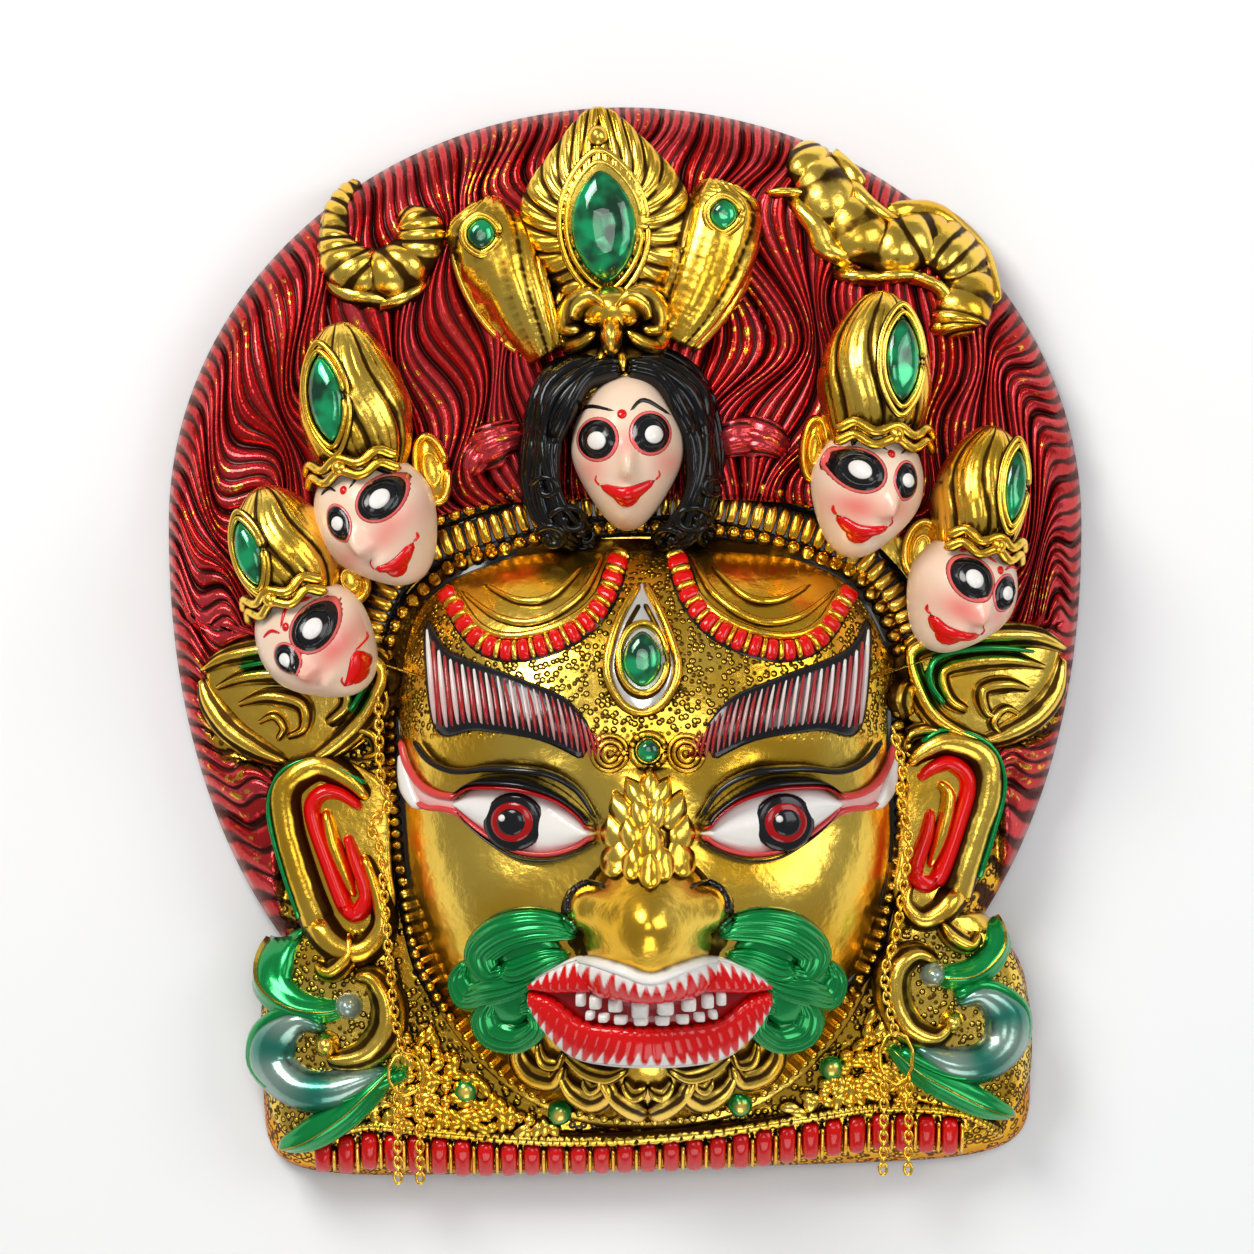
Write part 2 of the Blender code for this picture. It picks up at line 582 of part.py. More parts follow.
def lens_stone(name, sizes, matrix, pointed=0.0, sides=12):
    """A cut stone: a flat foot, an upright girdle, and a faceted dome with a small table."""
    hu, hv, dome = sizes
    shape = bmesh.new()
    bmesh.ops.create_circle(shape, cap_ends=True, segments=sides, radius=1.0)
    levels = ((1.0, GIRDLE), (0.72, GIRDLE + 0.66 * dome), (0.3, GIRDLE + dome))
    top = list(shape.faces)
    foot = top
    for share, height in levels:
        made = bmesh.ops.extrude_face_region(shape, geom=top)["geom"]
        if top is not foot:
            bmesh.ops.delete(shape, geom=top, context="FACES_ONLY")
        top = [g for g in made if isinstance(g, bmesh.types.BMFace)]
        for v in (g for g in made if isinstance(g, bmesh.types.BMVert)):
            flat = Vector((v.co.x, v.co.y, 0.0)).normalized()
            v.co = Vector((flat.x * share, flat.y * share, height))
    for v in shape.verts:
        reach = math.hypot(v.co.x, v.co.y)
        narrow = 1.0 - pointed * abs(v.co.y / reach) ** 3
        v.co = Vector((v.co.x * hu * narrow, v.co.y * hv, v.co.z)) * MM
    bmesh.ops.recalc_face_normals(shape, faces=shape.faces)
    mesh = bpy.data.meshes.new(name)
    shape.to_mesh(mesh)
    shape.free()
    mesh.transform(matrix)
    return finish_object(name, mesh, (0.0, 0.35, 0.12), 0.0, 0.05)


def set_stone(name, carrier, sizes, frame, depth, pointed=0.0, sides=12):
    """Cuts a pocket in its carrier and sets a stone in it. frame has the pocket's mouth at its origin."""
    mouth = 30.0
    pocket = (sizes[0] + STONE_GAP, sizes[1] + STONE_GAP)
    cutter = oval_prism(f"pocket_{name}", pocket, -depth, mouth, frame, sides, pointed)
    boolean(carrier, as_cutter(cutter), "DIFFERENCE")
    foot = Matrix.Translation(Vector((0.0, 0.0, (GAP - depth) * MM)))
    return lens_stone(name, sizes, frame @ foot, pointed, sides)


def frame_at(x, y, z, roll=0.0, turn=0.0, nod=0.0):
    """A place in millimetres with a roll about Z, a turn to the side and a nod, in degrees."""
    spin = Matrix.Rotation(math.radians(roll), 4, "Z") @ Matrix.Rotation(math.radians(turn), 4, "Y")
    return Matrix.Translation(Vector((x, y, z)) * MM) @ spin @ Matrix.Rotation(math.radians(nod), 4, "X")


def face_bumps(x, y):
    """Eyes, nose, lips and chin over a doll's face of unit half size, as shares of its depth."""
    eyes = np.exp(-((np.abs(x) - 0.42) / 0.24) ** 2 - ((y - 0.16) / 0.20) ** 2)
    nose = np.exp(-(x / 0.15) ** 2) * smooth_step(0.25, -0.22, y) * smooth_step(-0.40, -0.26, y)
    lips = np.exp(-(x / 0.30) ** 2 - ((y + 0.55) / 0.10) ** 2)
    chin = np.exp(-(x / 0.28) ** 2 - ((y + 0.86) / 0.16) ** 2)
    return 0.06 * eyes + 0.28 * nose + 0.09 * lips + 0.08 * chin


def face_solid(x, y, z, half, depth):
    """Below 1 inside a doll's face, which is a ball with a narrow chin and the bumps above."""
    u, v, w = x / half[0], y / half[1], z / depth
    jaw = 1.0 - 0.30 * smooth_step(0.1, -1.0, v) - 0.06 * smooth_step(0.3, 1.0, v)
    w = w - face_bumps(u / jaw, v) * smooth_step(0.0, 0.3, w)
    return np.sqrt((u / jaw) ** 2 + v**2 + w**2)


def cap_span(spec):
    """Middle and half height of a small head's cap, above the middle of the face."""
    foot, top = spec["half"][1] * CAP_FOOT, spec["cap"][0]
    return (foot + top) / 2.0, (top - foot) / 2.0


def cap_solid(x, y, z, spec, more):
    """Below 1 inside a tall cap with upright leaves and a hem over the brow."""
    middle, tall = cap_span(spec)
    u, v, w = x / (spec["cap"][1] + more), (y - middle) / (tall + more), z / (CAP_DEPTH + more)
    flute = 1.0 + 0.05 * np.cos(np.arctan2(u, np.maximum(w, 0.05)) * 12.0) * (1.0 - np.clip(v, 0.0, 1.0) ** 2)
    taper = (1.0 - 0.14 * np.clip(v, 0.0, 1.0)) * flute
    cap = np.sqrt((u / taper) ** 2 + v**2 + (w / taper) ** 2)
    hem = np.hypot((y - spec["half"][1] * HEM_PLACE) / (5.5 + more), z / (CAP_DEPTH + 2.5 + more))
    return np.minimum(cap, np.hypot(hem, x / (spec["cap"][1] + 2.0 + more)))


def head_height(x, y, spec, more=0.0):
    """Height of a small head's front, or its seat outside it; more swells it all round."""
    seat = spec["seat"]
    tops = []
    for kind in ("face_roll", "roll"):
        frame = frame_at(*spec["at"], seat + HEAD_LIFT, spec[kind], spec["turn"])
        back = np.array(frame.inverted())

        def level_of(a, b, c, back=back, kind=kind):
            own = [back[i, 0] * a + back[i, 1] * b + back[i, 2] * c + back[i, 3] / MM for i in range(3)]
            if kind == "roll":
                return cap_solid(*own, spec, more)
            half = [h + more for h in spec["half"]]
            return face_solid(*own, half, HEAD_DEPTH + more)

        tops.append(highest_inside(level_of, x, y, seat, seat + HEAD_LIFT + HEAD_DEPTH * 1.5))
    u, v = turned(x, y, spec["ear"], math.radians(spec["roll"]))
    level = np.hypot(u / (spec["ear_half"][0] + more), v / (spec["ear_half"][1] + more))
    tops.append(np.where(level < 1.0, seat + 6.0 + pad(level, 8.0), seat))
    return np.maximum.reduce(tops)


def side_head(name):
    """A small head with a leafed cap, an ear, and a pocket for the cap's stone."""
    spec = HEADS[name]
    upper = HEADS[name.replace("lower", "upper")]

    def height_of(x, y):
        z = head_height(x, y, spec)
        if upper is spec:
            return z
        return np.where(head_height(x, y, upper, HEAD_CLEARANCE) > upper["seat"], spec["seat"], z)

    middle, tall = cap_span(spec)
    frame = frame_at(*spec["at"], spec["seat"] + HEAD_LIFT, spec["roll"], spec["turn"])
    pole = (frame @ Vector((0.0, spec["half"][1] * 0.5 * MM, 0.0))) / MM
    head = seated_block(f"head_{name}", height_of, pole[:2], spec["seat"], 90, 44, SIDE_HEAD_FACES,
                        (0.85, 0.66, 0.52), 0.0)
    rise = spec["stone_at"] - middle
    drop = CAP_DEPTH * math.sqrt(1.0 - (rise / tall) ** 2) - 0.6
    nod = -math.degrees(math.atan2(rise * CAP_DEPTH, tall * tall))
    mouth = frame @ frame_at(0.0, spec["stone_at"], drop, 0.0, 0.0, nod)
    set_stone(f"stone_{name}", head, spec["stone"], mouth, 3.4, 0.45, 10)
    return head


def centre_height(x, y):
    """Height of the dark-haired head over the sheet, with its hair parted and hanging to the chin."""
    cx, cy = CENTRE_HEAD["at"]
    hu, hv = CENTRE_HEAD["half"]
    u, v = (x - cx) / hu, (y - cy) / hv
    jaw = 1.0 - 0.30 * smooth_step(0.1, -1.0, v) - 0.06 * smooth_step(0.3, 1.0, v)
    level = np.hypot(u / jaw, v)
    face = np.where(level < 1.0, HEAD_LIFT + HEAD_DEPTH * (pad(level, 1.0) + face_bumps(u / jaw, v)), 0.0)
    parts = [face]
    for centre, half, height in HAIR_MASSES:
        level = round_level(x, y, (cx + centre[0], cy + centre[1]), half)
        wave = 1.0 + 0.06 * np.cos(np.arctan2(x - cx, y - cy - 40.0) * 22.0 + 0.25 * y)
        parts.append(np.where(level < 1.0, 5.0 + pad(level, height) * wave, 0.0))
    parting = 0.2 * np.exp(-(((x - cx + 2.0) / 2.5) ** 2)) * (y > cy + 20.0)
    hair = np.maximum.reduce(parts[1:]) * (1.0 - parting)
    return HEAD_SEAT + np.where(face > 0.0, np.maximum(face, hair * (v > 0.45)), hair)


def centre_head():
    x, y = CENTRE_HEAD["at"]

    return seated_block("head_centre", centre_height, (x - 2.0, y + 4.0), HEAD_SEAT, 100, 44,
                        CENTRE_HEAD_FACES, (0.85, 0.66, 0.52), 0.0)


def petal_frame(petal):
    """Middle, half length and lean of a small crown leaf."""
    foot, tip = np.array(petal["foot"]), np.array(petal["tip"])
    run = tip - foot
    return (foot + tip) / 2, float(np.hypot(*run)) / 2, math.atan2(-run[0], run[1])


def turned(x, y, centre, angle):
    """Coordinates about a centre, turned back by an angle."""
    u, v = x - centre[0], y - centre[1]
    return u * math.cos(angle) + v * math.sin(angle), v * math.cos(angle) - u * math.sin(angle)


def crown_height(x, y):
    """Height of the crown: the great leaf, two small ones, the lion mask and the crest ball."""
    u, v = turned(x, y, CROWN_LEAF["at"], math.radians(CROWN_LEAF["roll"]))
    hu, hv, deep = CROWN_LEAF["half"]
    w = v / hv
    narrow = 1.0 - 0.42 * smooth_step(0.1, 1.0, w) - 0.30 * smooth_step(-0.4, -1.0, w)
    level = np.hypot(u / (hu * narrow), w)
    feathers = 1.0 - 0.035 * np.abs(np.sin(np.arctan2(u, v) * 11.0)) * smooth_step(0.5, 0.9, level)
    level = level / feathers
    leaf = np.where(level < 1.0, 4.0 + pad(level, deep), 0.0)
    bezel = np.hypot(u / (CROWN_STONE[0] + 3.0), v / (CROWN_STONE[1] + 3.5))
    leaf = leaf + pad(np.abs(bezel - 1.0) / 0.16, 3.0) * (level < 1.0)
    parts = [leaf]
    for petal in PETALS.values():
        centre, long, lean = petal_frame(petal)
        u, v = turned(x, y, centre, lean)
        level = np.hypot(u / petal["half"], v / (long + 12.0))
        parts.append(np.where(level < 1.0, 3.0 + pad(level, 11.0) * (1.0 + 0.07 * np.cos(v * 1.2)), 0.0))
        ring = np.hypot(x - petal["tip"][0], y - petal["tip"][1]) / (PETAL_STONE[0] + 3.0)
        parts.append(np.where(ring < 1.0, 15.0, 0.0))
    lx, ly = LION["at"]
    level = round_level(x, y, LION["at"], LION["half"][:2])
    mane = 1.0 + 0.05 * np.cos(np.arctan2(x - lx, y - ly) * 16.0) * level
    parts.append(np.where(level < 1.0, 4.0 + pad(level, LION["half"][2]) * mane, 0.0))
    parts.append(np.where(np.hypot(x + 11.0, y - 199.0) < 7.0, 19.0, 0.0))
    hair = round_level(x, y, [a + b for a, b in zip(CENTRE_HEAD["at"], HAIR_MASSES[0][0])],
                       [a + 2.0 for a in HAIR_MASSES[0][1]])
    return CROWN_SEAT + np.where(hair < 1.0, 0.0, np.maximum.reduce(parts))


def crown():
    """The three-leafed crown with the lion mask at its foot."""
    x, y = CROWN_LEAF["at"]
    return seated_block("crown", crown_height, (x + 3.0, y - 22.0), CROWN_SEAT, 150, 50, CROWN_FACES,
                        (0.83, 0.6, 0.14))


def crown_stones(carrier, seat):
    """Pockets in the crown, and the stones in them."""
    x, y = CROWN_LEAF["at"]
    mouth = frame_at(x, y, seat + 4.0 + CROWN_LEAF["half"][2] - 1.0, CROWN_LEAF["roll"])
    set_stone("stone_crown", carrier, CROWN_STONE, mouth, 3.2, 0.35)
    for side, petal in PETALS.items():
        mouth = frame_at(*petal["tip"], seat + 15.0)
        set_stone(f"stone_petal_{side}", carrier, PETAL_STONE, mouth, 4.6, 0.0, 8)


def seat_planers():
    """Cutters that plane the sheet flat under each added piece, as one object each."""
    made = []
    for name, spec in HEADS.items():
        hu, hv = spec["half"]
        middle, tall = cap_span(spec)
        turn = frame_at(*spec["at"], 0.0, spec["roll"])
        made.append(oval_prism(f"plane_{name}", (hu + 3.0, hv + 3.0), spec["seat"], PLANE_TOP, turn, 20))
        beside = turn @ frame_at(OUTWARD[name.split("_")[0]] * 3.0, middle, 0.0)
        made.append(oval_prism(f"plane_cap_{name}", (spec["cap"][1] + 5.0, tall + 2.0), spec["seat"],
                               PLANE_TOP + 1.0, beside, 20))
    x, y = CENTRE_HEAD["at"]
    made.append(oval_prism("plane_centre", (42.0, 43.0), HEAD_SEAT, PLANE_TOP + 2.0,
                           frame_at(x - 3.0, y + 2.0, 0.0), 32, 0.0, 5.0))
    x, y = CROWN_LEAF["at"]
    made.append(oval_prism("plane_crown", (37.0, 46.0), CROWN_SEAT, PLANE_TOP + 3.0, frame_at(x, y, 0.0), 24))
    for side, petal in PETALS.items():
        centre, long, lean = petal_frame(petal)
        turn = frame_at(*centre, 0.0, math.degrees(lean))
        half = (petal["half"] + 3.0, long + 15.0)
        made.append(oval_prism(f"plane_petal_{side}", half, CROWN_SEAT, PLANE_TOP + 4.0, turn, 20))
    return [as_cutter(obj) for obj in made]


def serpent_relief(x, y):
    """Height of the two serpents in the hair."""
    right = roll_height(x, y, SERPENT, 12.0) * (1.0 + 0.09 * np.cos((x - y) * 0.9))
    left = roll_height(x, y, COILED_SERPENT, 12.0) * (1.0 + 0.09 * np.cos((x + y) * 0.9))
    return np.maximum.reduce([right, left, roll_height(x, y, CRESCENT, 8.0)])


def collar_relief(x, y):
    """The rope over the row of tongues, and the tongues between it and the edge."""
    line = np.interp(x, [p[0] for p in ROPE], [p[1] for p in ROPE])
    row = smooth_step(-1.0, -4.0, y - line)
    row = row * smooth_step(TONGUES_FROM, TONGUES_FROM + 14.0, x)
    row = row * smooth_step(TONGUES_TO, TONGUES_TO - 14.0, x)
    span = COLLAR_HALF_WIDTH * 2.0
    tongue = np.abs(np.sin((x - COLLAR_CENTRE[0]) / span * TONGUES * math.pi)) ** 0.5
    return np.maximum(roll_height(x, y, ROPE, 3.6), TONGUE_RISE * row * tongue)


def seat_outlines(x, y):
    """For the heads and the crown: seat height, level inside the piece's outline, level inside its boss."""
    found = []
    for name, spec in HEADS.items():
        half = [h + SEAT_MARGIN for h in spec["half"]]
        boss = round_level(x, y, spec["at"], [h - BOSS_SHRINK for h in spec["half"]])
        found.append((spec["seat"], round_level(x, y, spec["at"], half), boss))
        middle, tall = cap_span(spec)
        place = (frame_at(*spec["at"], 0.0, spec["roll"]) @ Vector((0.0, middle * MM, 0.0))) / MM
        u, v = turned(x, y, place, math.radians(spec["roll"]))
        cap = round_level(u, v, (OUTWARD[name.split("_")[0]] * 4.0, 0.0), (spec["cap"][1] + 10.0, tall + 6.0))
        found.append((spec["seat"], cap, cap * 1.9))
    cx, cy = CENTRE_HEAD["at"]
    level = round_level(x, y, (cx - 3.0, cy + 2.0), (43.0, 44.0), 5.0)
    found.append((HEAD_SEAT, level, level * 1.6))
    level = round_level(x, y, CROWN_LEAF["at"], (40.0, 49.0))
    found.append((CROWN_SEAT, level, level * 1.6))
    level = round_level(x, y, LION["at"], (36.0, 26.0))
    found.append((CROWN_SEAT, level, level * 1.6))
    for petal in PETALS.values():
        centre, long, lean = petal_frame(petal)
        u, v = turned(x, y, centre, lean)
        level = round_level(u, v, (0.0, 0.0), (petal["half"] + 5.0, long + 17.0))
        found.append((CROWN_SEAT, level, level * 3.0))
    return found


def seated(x, y, z):
    """The front made flat under the heads and the crown, with a boss that just reaches each seat."""
    outlines = seat_outlines(x, y)
    for seat, level, boss in outlines:
        z = np.where(level < 1.0, np.minimum(z, seat - SEAT_DROP), z)
    for seat, level, boss in outlines:
        z = np.where(boss < 1.0, seat - BOSS_DROP, z)
    return z


def halo_front(x, y, inside, ridge):
    """Height of the halo and collar with ears, crests, scrolls and serpents. ridge is 1 on a lock's crest."""
    fade = smooth_step(1.0, 9.0, inside)
    relief = np.maximum.reduce([
        LOCK_RISE * ridge,
        side_relief(x, y, "left"),
        side_relief(x, y, "right"),
        serpent_relief(x, y),
        collar_relief(x, y),
    ])
    level = face_level(x, y)
    bare = smooth_step(BORDER_LEVEL + 0.06, BORDER_LEVEL + 0.16, level)
    over = smooth_step(BAND_FOOT + 2.0, BAND_FOOT + 14.0, y)
    bare = bare * (1.0 - over) + over * smooth_step(BAND_LEVEL + 0.07, BAND_LEVEL + 0.17, level)
    under = smooth_step(BORDER_LEVEL + 0.05, BORDER_LEVEL + 0.01, level)
    under = under * (1.0 - over) + over * smooth_step(BAND_LEVEL + 0.05, BAND_LEVEL + 0.01, level)
    z = base_form(x, y, inside) + relief * fade * bare - UNDERLAP * under
    return seated(x, y, z)


def halo_block():
    """The halo and the collar: a fine grid whose spokes follow the locks, slimmed."""
    locks = np.linspace(LOCK_FROM, LOCK_TO, SPOKES_PER_LOCK * LOCKS, endpoint=False)
    rest = np.linspace(LOCK_TO, LOCK_FROM + 2 * math.pi, COLLAR_SPOKES, endpoint=False)
    angles = np.concatenate([locks, rest])
    shares = np.linspace(1.0, HALO_FROM, HALO_RINGS)
    shape, share, turn = ring_grid(len(angles), shares)
    turn = turn - turn[0]
    spoke = np.round(turn / (2 * math.pi) * len(angles)).astype(int) % len(angles)
    angle = angles[spoke]
    is_lock = spoke < len(locks)
    edge_of_locks = np.minimum(angle - LOCK_FROM, LOCK_TO - angle)
    lean = SWEEP * np.cos(angle) * smooth_step(0.0, 0.35, edge_of_locks) * is_lock
    wave = 0.035 * np.sin(share * 16.0) * is_lock * smooth_step(1.0, 0.9, share)
    angle = angle + lean * smooth_step(HALO_FROM, 1.0, share) + wave
    full = outline_radius(angle)
    x, y = POLE[0] + share * full * np.cos(angle), POLE[1] + share * full * np.sin(angle)
    crest = np.abs(np.cos(spoke * math.pi / SPOKES_PER_LOCK)) ** 0.8
    ridge = crest * is_lock * smooth_step(0.0, 0.12, edge_of_locks)
    z = halo_front(x, y, (1.0 - share) * full, ridge)
    return block_from(shape, "mask_sheet", x, y, z, 0.0, HALO_FACES, (0.83, 0.6, 0.14), 1.0)


def great_face():
    """The great face with its beaded border and the diadem, as one block."""
    def held(x, y):
        level = face_level(x, y)
        return np.where(y > BAND_FOOT, level < BAND_LEVEL + 0.06, level < BORDER_LEVEL + 0.05)

    def top(x, y, inside):
        relief = np.maximum(face_relief(x, y), band_relief(x, y))
        return seated(x, y, main_form(x, y, inside_edge(x, y)) + np.maximum(relief, 0.6))

    pole = (FACE_X, FACE_Y - 10.0)
    radii = reach_of(held, pole, 260)
    gold = (0.83, 0.6, 0.14)
    return as_cutter(polar_block("great_face", top, pole, radii, 100, FACE_ROOT, FACE_FACES, gold))


def mask_sheet():
    """The beaten sheet: halo, collar, face and ornaments, hollow behind, planed under the added pieces."""
    sheet = halo_block()
    boolean(sheet, great_face(), "UNION")
    radii = outline_radius(np.linspace(-math.pi, math.pi, 144, endpoint=False))
    hollow = polar_block("hollow", hollow_back, POLE, radii, 40, -20.0, HOLLOW_FACES, (0.5, 0.4, 0.2), 1.0,
                         HEM_WIDTH)
    boolean(sheet, as_cutter(hollow), "DIFFERENCE")
    for cutter in seat_planers():
        boolean(sheet, cutter, "DIFFERENCE")
    return sheet


def tree_of(obj):
    """A search tree over a finished object's faces."""
    bpy.context.view_layer.update()
    return BVHTree.FromObject(obj, bpy.context.evaluated_depsgraph_get())


def surface_at(tree, x, y):
    """Height of the front under each place."""
    heights = []
    for a, b in zip(np.atleast_1d(x), np.atleast_1d(y)):
        hit = tree.ray_cast(Vector((a, b, ABOVE)) * MM, Vector((0.0, 0.0, -1.0)))[0]
        heights.append(hit.z / MM if hit else 0.0)
    return np.array(heights)


def clear_height(tree, x, y, reach):
    """Highest point of the front within reach of each place."""
    x, y = np.atleast_1d(np.array(x, float)), np.atleast_1d(np.array(y, float))
    turns = np.arange(8) * math.pi / 4
    heights = [surface_at(tree, x + reach * math.cos(a), y + reach * math.sin(a)) for a in turns]
    return np.maximum.reduce([surface_at(tree, x, y), *heights])


def wire(name, points, diameter, closed=False):
    """A round wire along millimetre points, made a mesh with its caps welded."""
    curve = bpy.data.curves.new(name, "CURVE")
    curve.dimensions = "3D"
    curve.bevel_depth = diameter / 2 * MM
    curve.bevel_resolution = 0
    curve.use_fill_caps = not closed
    spline = curve.splines.new("POLY")
    spline.points.add(len(points) - 1)
    for place, point in zip(spline.points, points):
        place.co = (*(np.array(point) * MM), 1.0)
    spline.use_cyclic_u = closed
    guide = bpy.data.objects.new(f"guide_{name}", curve)
    bpy.data.collections["metal_mask"].objects.link(guide)
    bpy.context.view_layer.update()
    graph = bpy.context.evaluated_depsgraph_get()
    mesh = bpy.data.meshes.new_from_object(guide.evaluated_get(graph))
    bpy.data.objects.remove(guide)
    shape = bmesh.new()
    shape.from_mesh(mesh)
    bmesh.ops.remove_doubles(shape, verts=shape.verts, dist=0.00001)
    bmesh.ops.recalc_face_normals(shape, faces=shape.faces)
    shape.to_mesh(mesh)
    shape.free()
    return finish_object(name, mesh, (0.8, 0.58, 0.22), 1.0, 0.25)


def ear_chain(side, tree):
    """A drop chain as one wire: from the ear down over the shoulder to a ring and a doubled end."""
    spec = CHAINS[side]
    ring_x, ring_y = spec["ring"]
    lift = CHAIN_WIRE / 2 + CHAIN_CLEARANCE
    ring_top = ring_y + RING_HALF[1]
    ys = np.linspace(spec["top"][1], ring_top, DROP_POINTS)
    xs = np.interp(ys, [ring_top, spec["top"][1]], [ring_x, spec["top"][0]])
    zs = clear_height(tree, xs, ys, 3.5) + lift
    level = np.convolve(np.pad(zs, 2, mode="edge"), np.ones(5) / 5, mode="valid")
    run = list(zip(xs, ys, np.maximum(zs, level)))
    turn = (np.arange(RING_POINTS) + 0.5) * 2 * math.pi / RING_POINTS
    rx, ry = ring_x + RING_HALF[0] * np.cos(turn), ring_y + RING_HALF[1] * np.sin(turn)
    ring_z = float(clear_height(tree, rx, ry, 3.5).max()) + lift
    run[-1] = (ring_x + 0.2, ring_top + 0.1, ring_z + 0.3)
    ring = wire(f"ring_{side}", list(zip(rx, ry, np.full(RING_POINTS, ring_z))), CHAIN_WIRE, True)
    long = (ring_y - RING_HALF[1] + 1.0 - spec["end"]) / 2.0
    turn = np.arange(LOOP_POINTS) * 2 * math.pi / LOOP_POINTS + math.pi / 2
    ex = ring_x + 0.3 + DOUBLE_SPREAD * np.cos(turn)
    ey = spec["end"] + long + long * np.sin(turn)
    ez = clear_height(tree, ex, ey, 3.5) + lift
    ring_foot = ring_y - RING_HALF[1]
    ez = np.maximum(ez, np.interp(ey, [ring_foot - 8.0, ring_foot], [0.0, ring_z + 0.4]))
    tail = wire(f"tail_{side}", list(zip(ex, ey, ez)), CHAIN_WIRE, True)
    chain = wire(f"chain_{side}", run, CHAIN_WIRE)
    boolean(chain, as_cutter(ring), "UNION")
    boolean(chain, as_cutter(tail), "UNION")
    return chain


def main():
    for obj in list(bpy.data.objects):
        bpy.data.objects.remove(obj)
    for name in ("metal_mask", "cutters"):
        bpy.context.scene.collection.children.link(bpy.data.collections.new(name))
    bpy.data.collections["cutters"].hide_render = True
    sheet = mask_sheet()
    front = tree_of(sheet)
    for name, place, stone in (("stone_forehead", DROP["centre"], DROP_STONE),
                               ("stone_root", BEAD_RING["centre"], ROOT_STONE)):
        mouth = float(surface_at(front, *place)[0])
        set_stone(name, sheet, stone, frame_at(*place, mouth), 3.0)
    for name in HEADS:
        side_head(name)
    centre_head()
    crown_stones(crown(), CROWN_SEAT)
    for side in OUTWARD:
        ear_chain(side, front)


main()
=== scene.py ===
"""Looks of the metal wall mask: gilt sheet, red lacquered hair, five painted heads and glass stones.

Laid out as an add-on and run as a script. Sizes are millimetres until a piece is finished, which turns
them into metres. +Z is out of the mask's face and +Y runs to the crown, as in the solids.
"""

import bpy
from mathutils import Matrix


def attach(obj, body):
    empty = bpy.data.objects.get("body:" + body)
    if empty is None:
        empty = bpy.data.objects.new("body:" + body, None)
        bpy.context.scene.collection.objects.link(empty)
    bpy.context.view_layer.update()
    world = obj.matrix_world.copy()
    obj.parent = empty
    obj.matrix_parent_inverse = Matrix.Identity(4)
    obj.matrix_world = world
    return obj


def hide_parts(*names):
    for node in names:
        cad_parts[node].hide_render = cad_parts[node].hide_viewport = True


bl_info = {
    "name": "Metal wall mask",
    "version": (1, 0, 0),
    "blender": (4, 5, 0),
    "location": "View3D > Sidebar > Mask",
    "description": "Dresses the solids of a beaten metal wall mask with its fine relief and finishes",
    "category": "Object",
}

import math

import bmesh
import bpy
import numpy as np
from mathutils import Matrix, Vector

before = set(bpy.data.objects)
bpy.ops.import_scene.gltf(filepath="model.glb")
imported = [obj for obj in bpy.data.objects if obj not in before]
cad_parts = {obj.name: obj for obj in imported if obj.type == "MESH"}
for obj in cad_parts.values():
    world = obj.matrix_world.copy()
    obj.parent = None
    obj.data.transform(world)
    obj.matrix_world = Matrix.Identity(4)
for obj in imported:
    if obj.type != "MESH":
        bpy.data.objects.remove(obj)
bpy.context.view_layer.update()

MM = 0.001
SEED = 11

# The photograph's pixel over the origin, and the size of a pixel, for the ornaments traced from it
PHOTO_ORIGIN = (625.0, 641.5)
PHOTO_PITCH = 0.4
PHOTO_SIDE = 1254.0

# Outline of the sheet
HALO_CENTRE_Y = 48.0
HALO_HALF_WIDTH = 184.0
HALO_UP = 167.4
HALO_DOWN = 236.0
COLLAR_CENTRE = (8.0, -152.0)
COLLAR_HALF_WIDTH = 154.5
COLLAR_UP = 60.0
COLLAR_DOWN = 60.5
COLLAR_TILT = math.radians(1.6)

# Cross-section of the sheet
WALL = 1.6
HEM_WIDTH = 6.0
HEM_HEIGHT = 3.0
EDGE_RISE = 21.0
EDGE_RUN = 10.0
DOME_RISE = 18.0
DOME_REACH = (150.0, 170.0)
POLE = (8.0, -22.0)

# The great face
FACE_X = 9.0
FACE_Y = -40.0
FACE_HALF_WIDTH = 101.0
FACE_UP = 78.0
FACE_DOWN = 147.0
FACE_RISE = 50.0
EYE = (51.0, -70.5)
NOSE_TIP_Y = -111.0
NOSE_HALF = (27.0, 31.0)
NOSE_HEIGHT = 27.0
NOSE_BULB = (17.0, 14.0, 7.0)
NOSTRIL = (21.5, -105.0)
NOSTRIL_HALF = (10.5, 10.0, 14.0)
BRIDGE_TOP = -50.0
MOUTH_Y = -145.0
BORDER_LEVEL = 1.03
BAND_LEVEL = 1.36
BAND_FOOT = -4.0

# Hair of the halo
LOCKS = 40
LOCK_RISE = 5.6
NOTCHES = (math.radians(-33.0), math.radians(214.0))
LOCK_FROM = math.radians(-52.0)
LOCK_TO = math.radians(233.0)
SWEEP = 0.45
HALO_FROM = 0.42
STRANDS_PER_LOCK = 4


def smooth_step(low, high, value):
    t = np.clip((value - low) / (high - low), 0.0, 1.0)
    return t * t * (3.0 - 2.0 * t)


def round_level(x, y, centre, half, power=2.0):
    """0 at the centre of a superellipse and 1 on its edge."""
    u = np.abs(x - centre[0]) / half[0]
    v = np.abs(y - centre[1]) / half[1]
    return (u**power + v**power) ** (1.0 / power)


def pad(level, height, power=2.0):
    """A pillow of that height over the inside of a level."""
    return height * np.sqrt(np.clip(1.0 - np.clip(level, 0.0, 1.0) ** power, 0.0, 1.0))


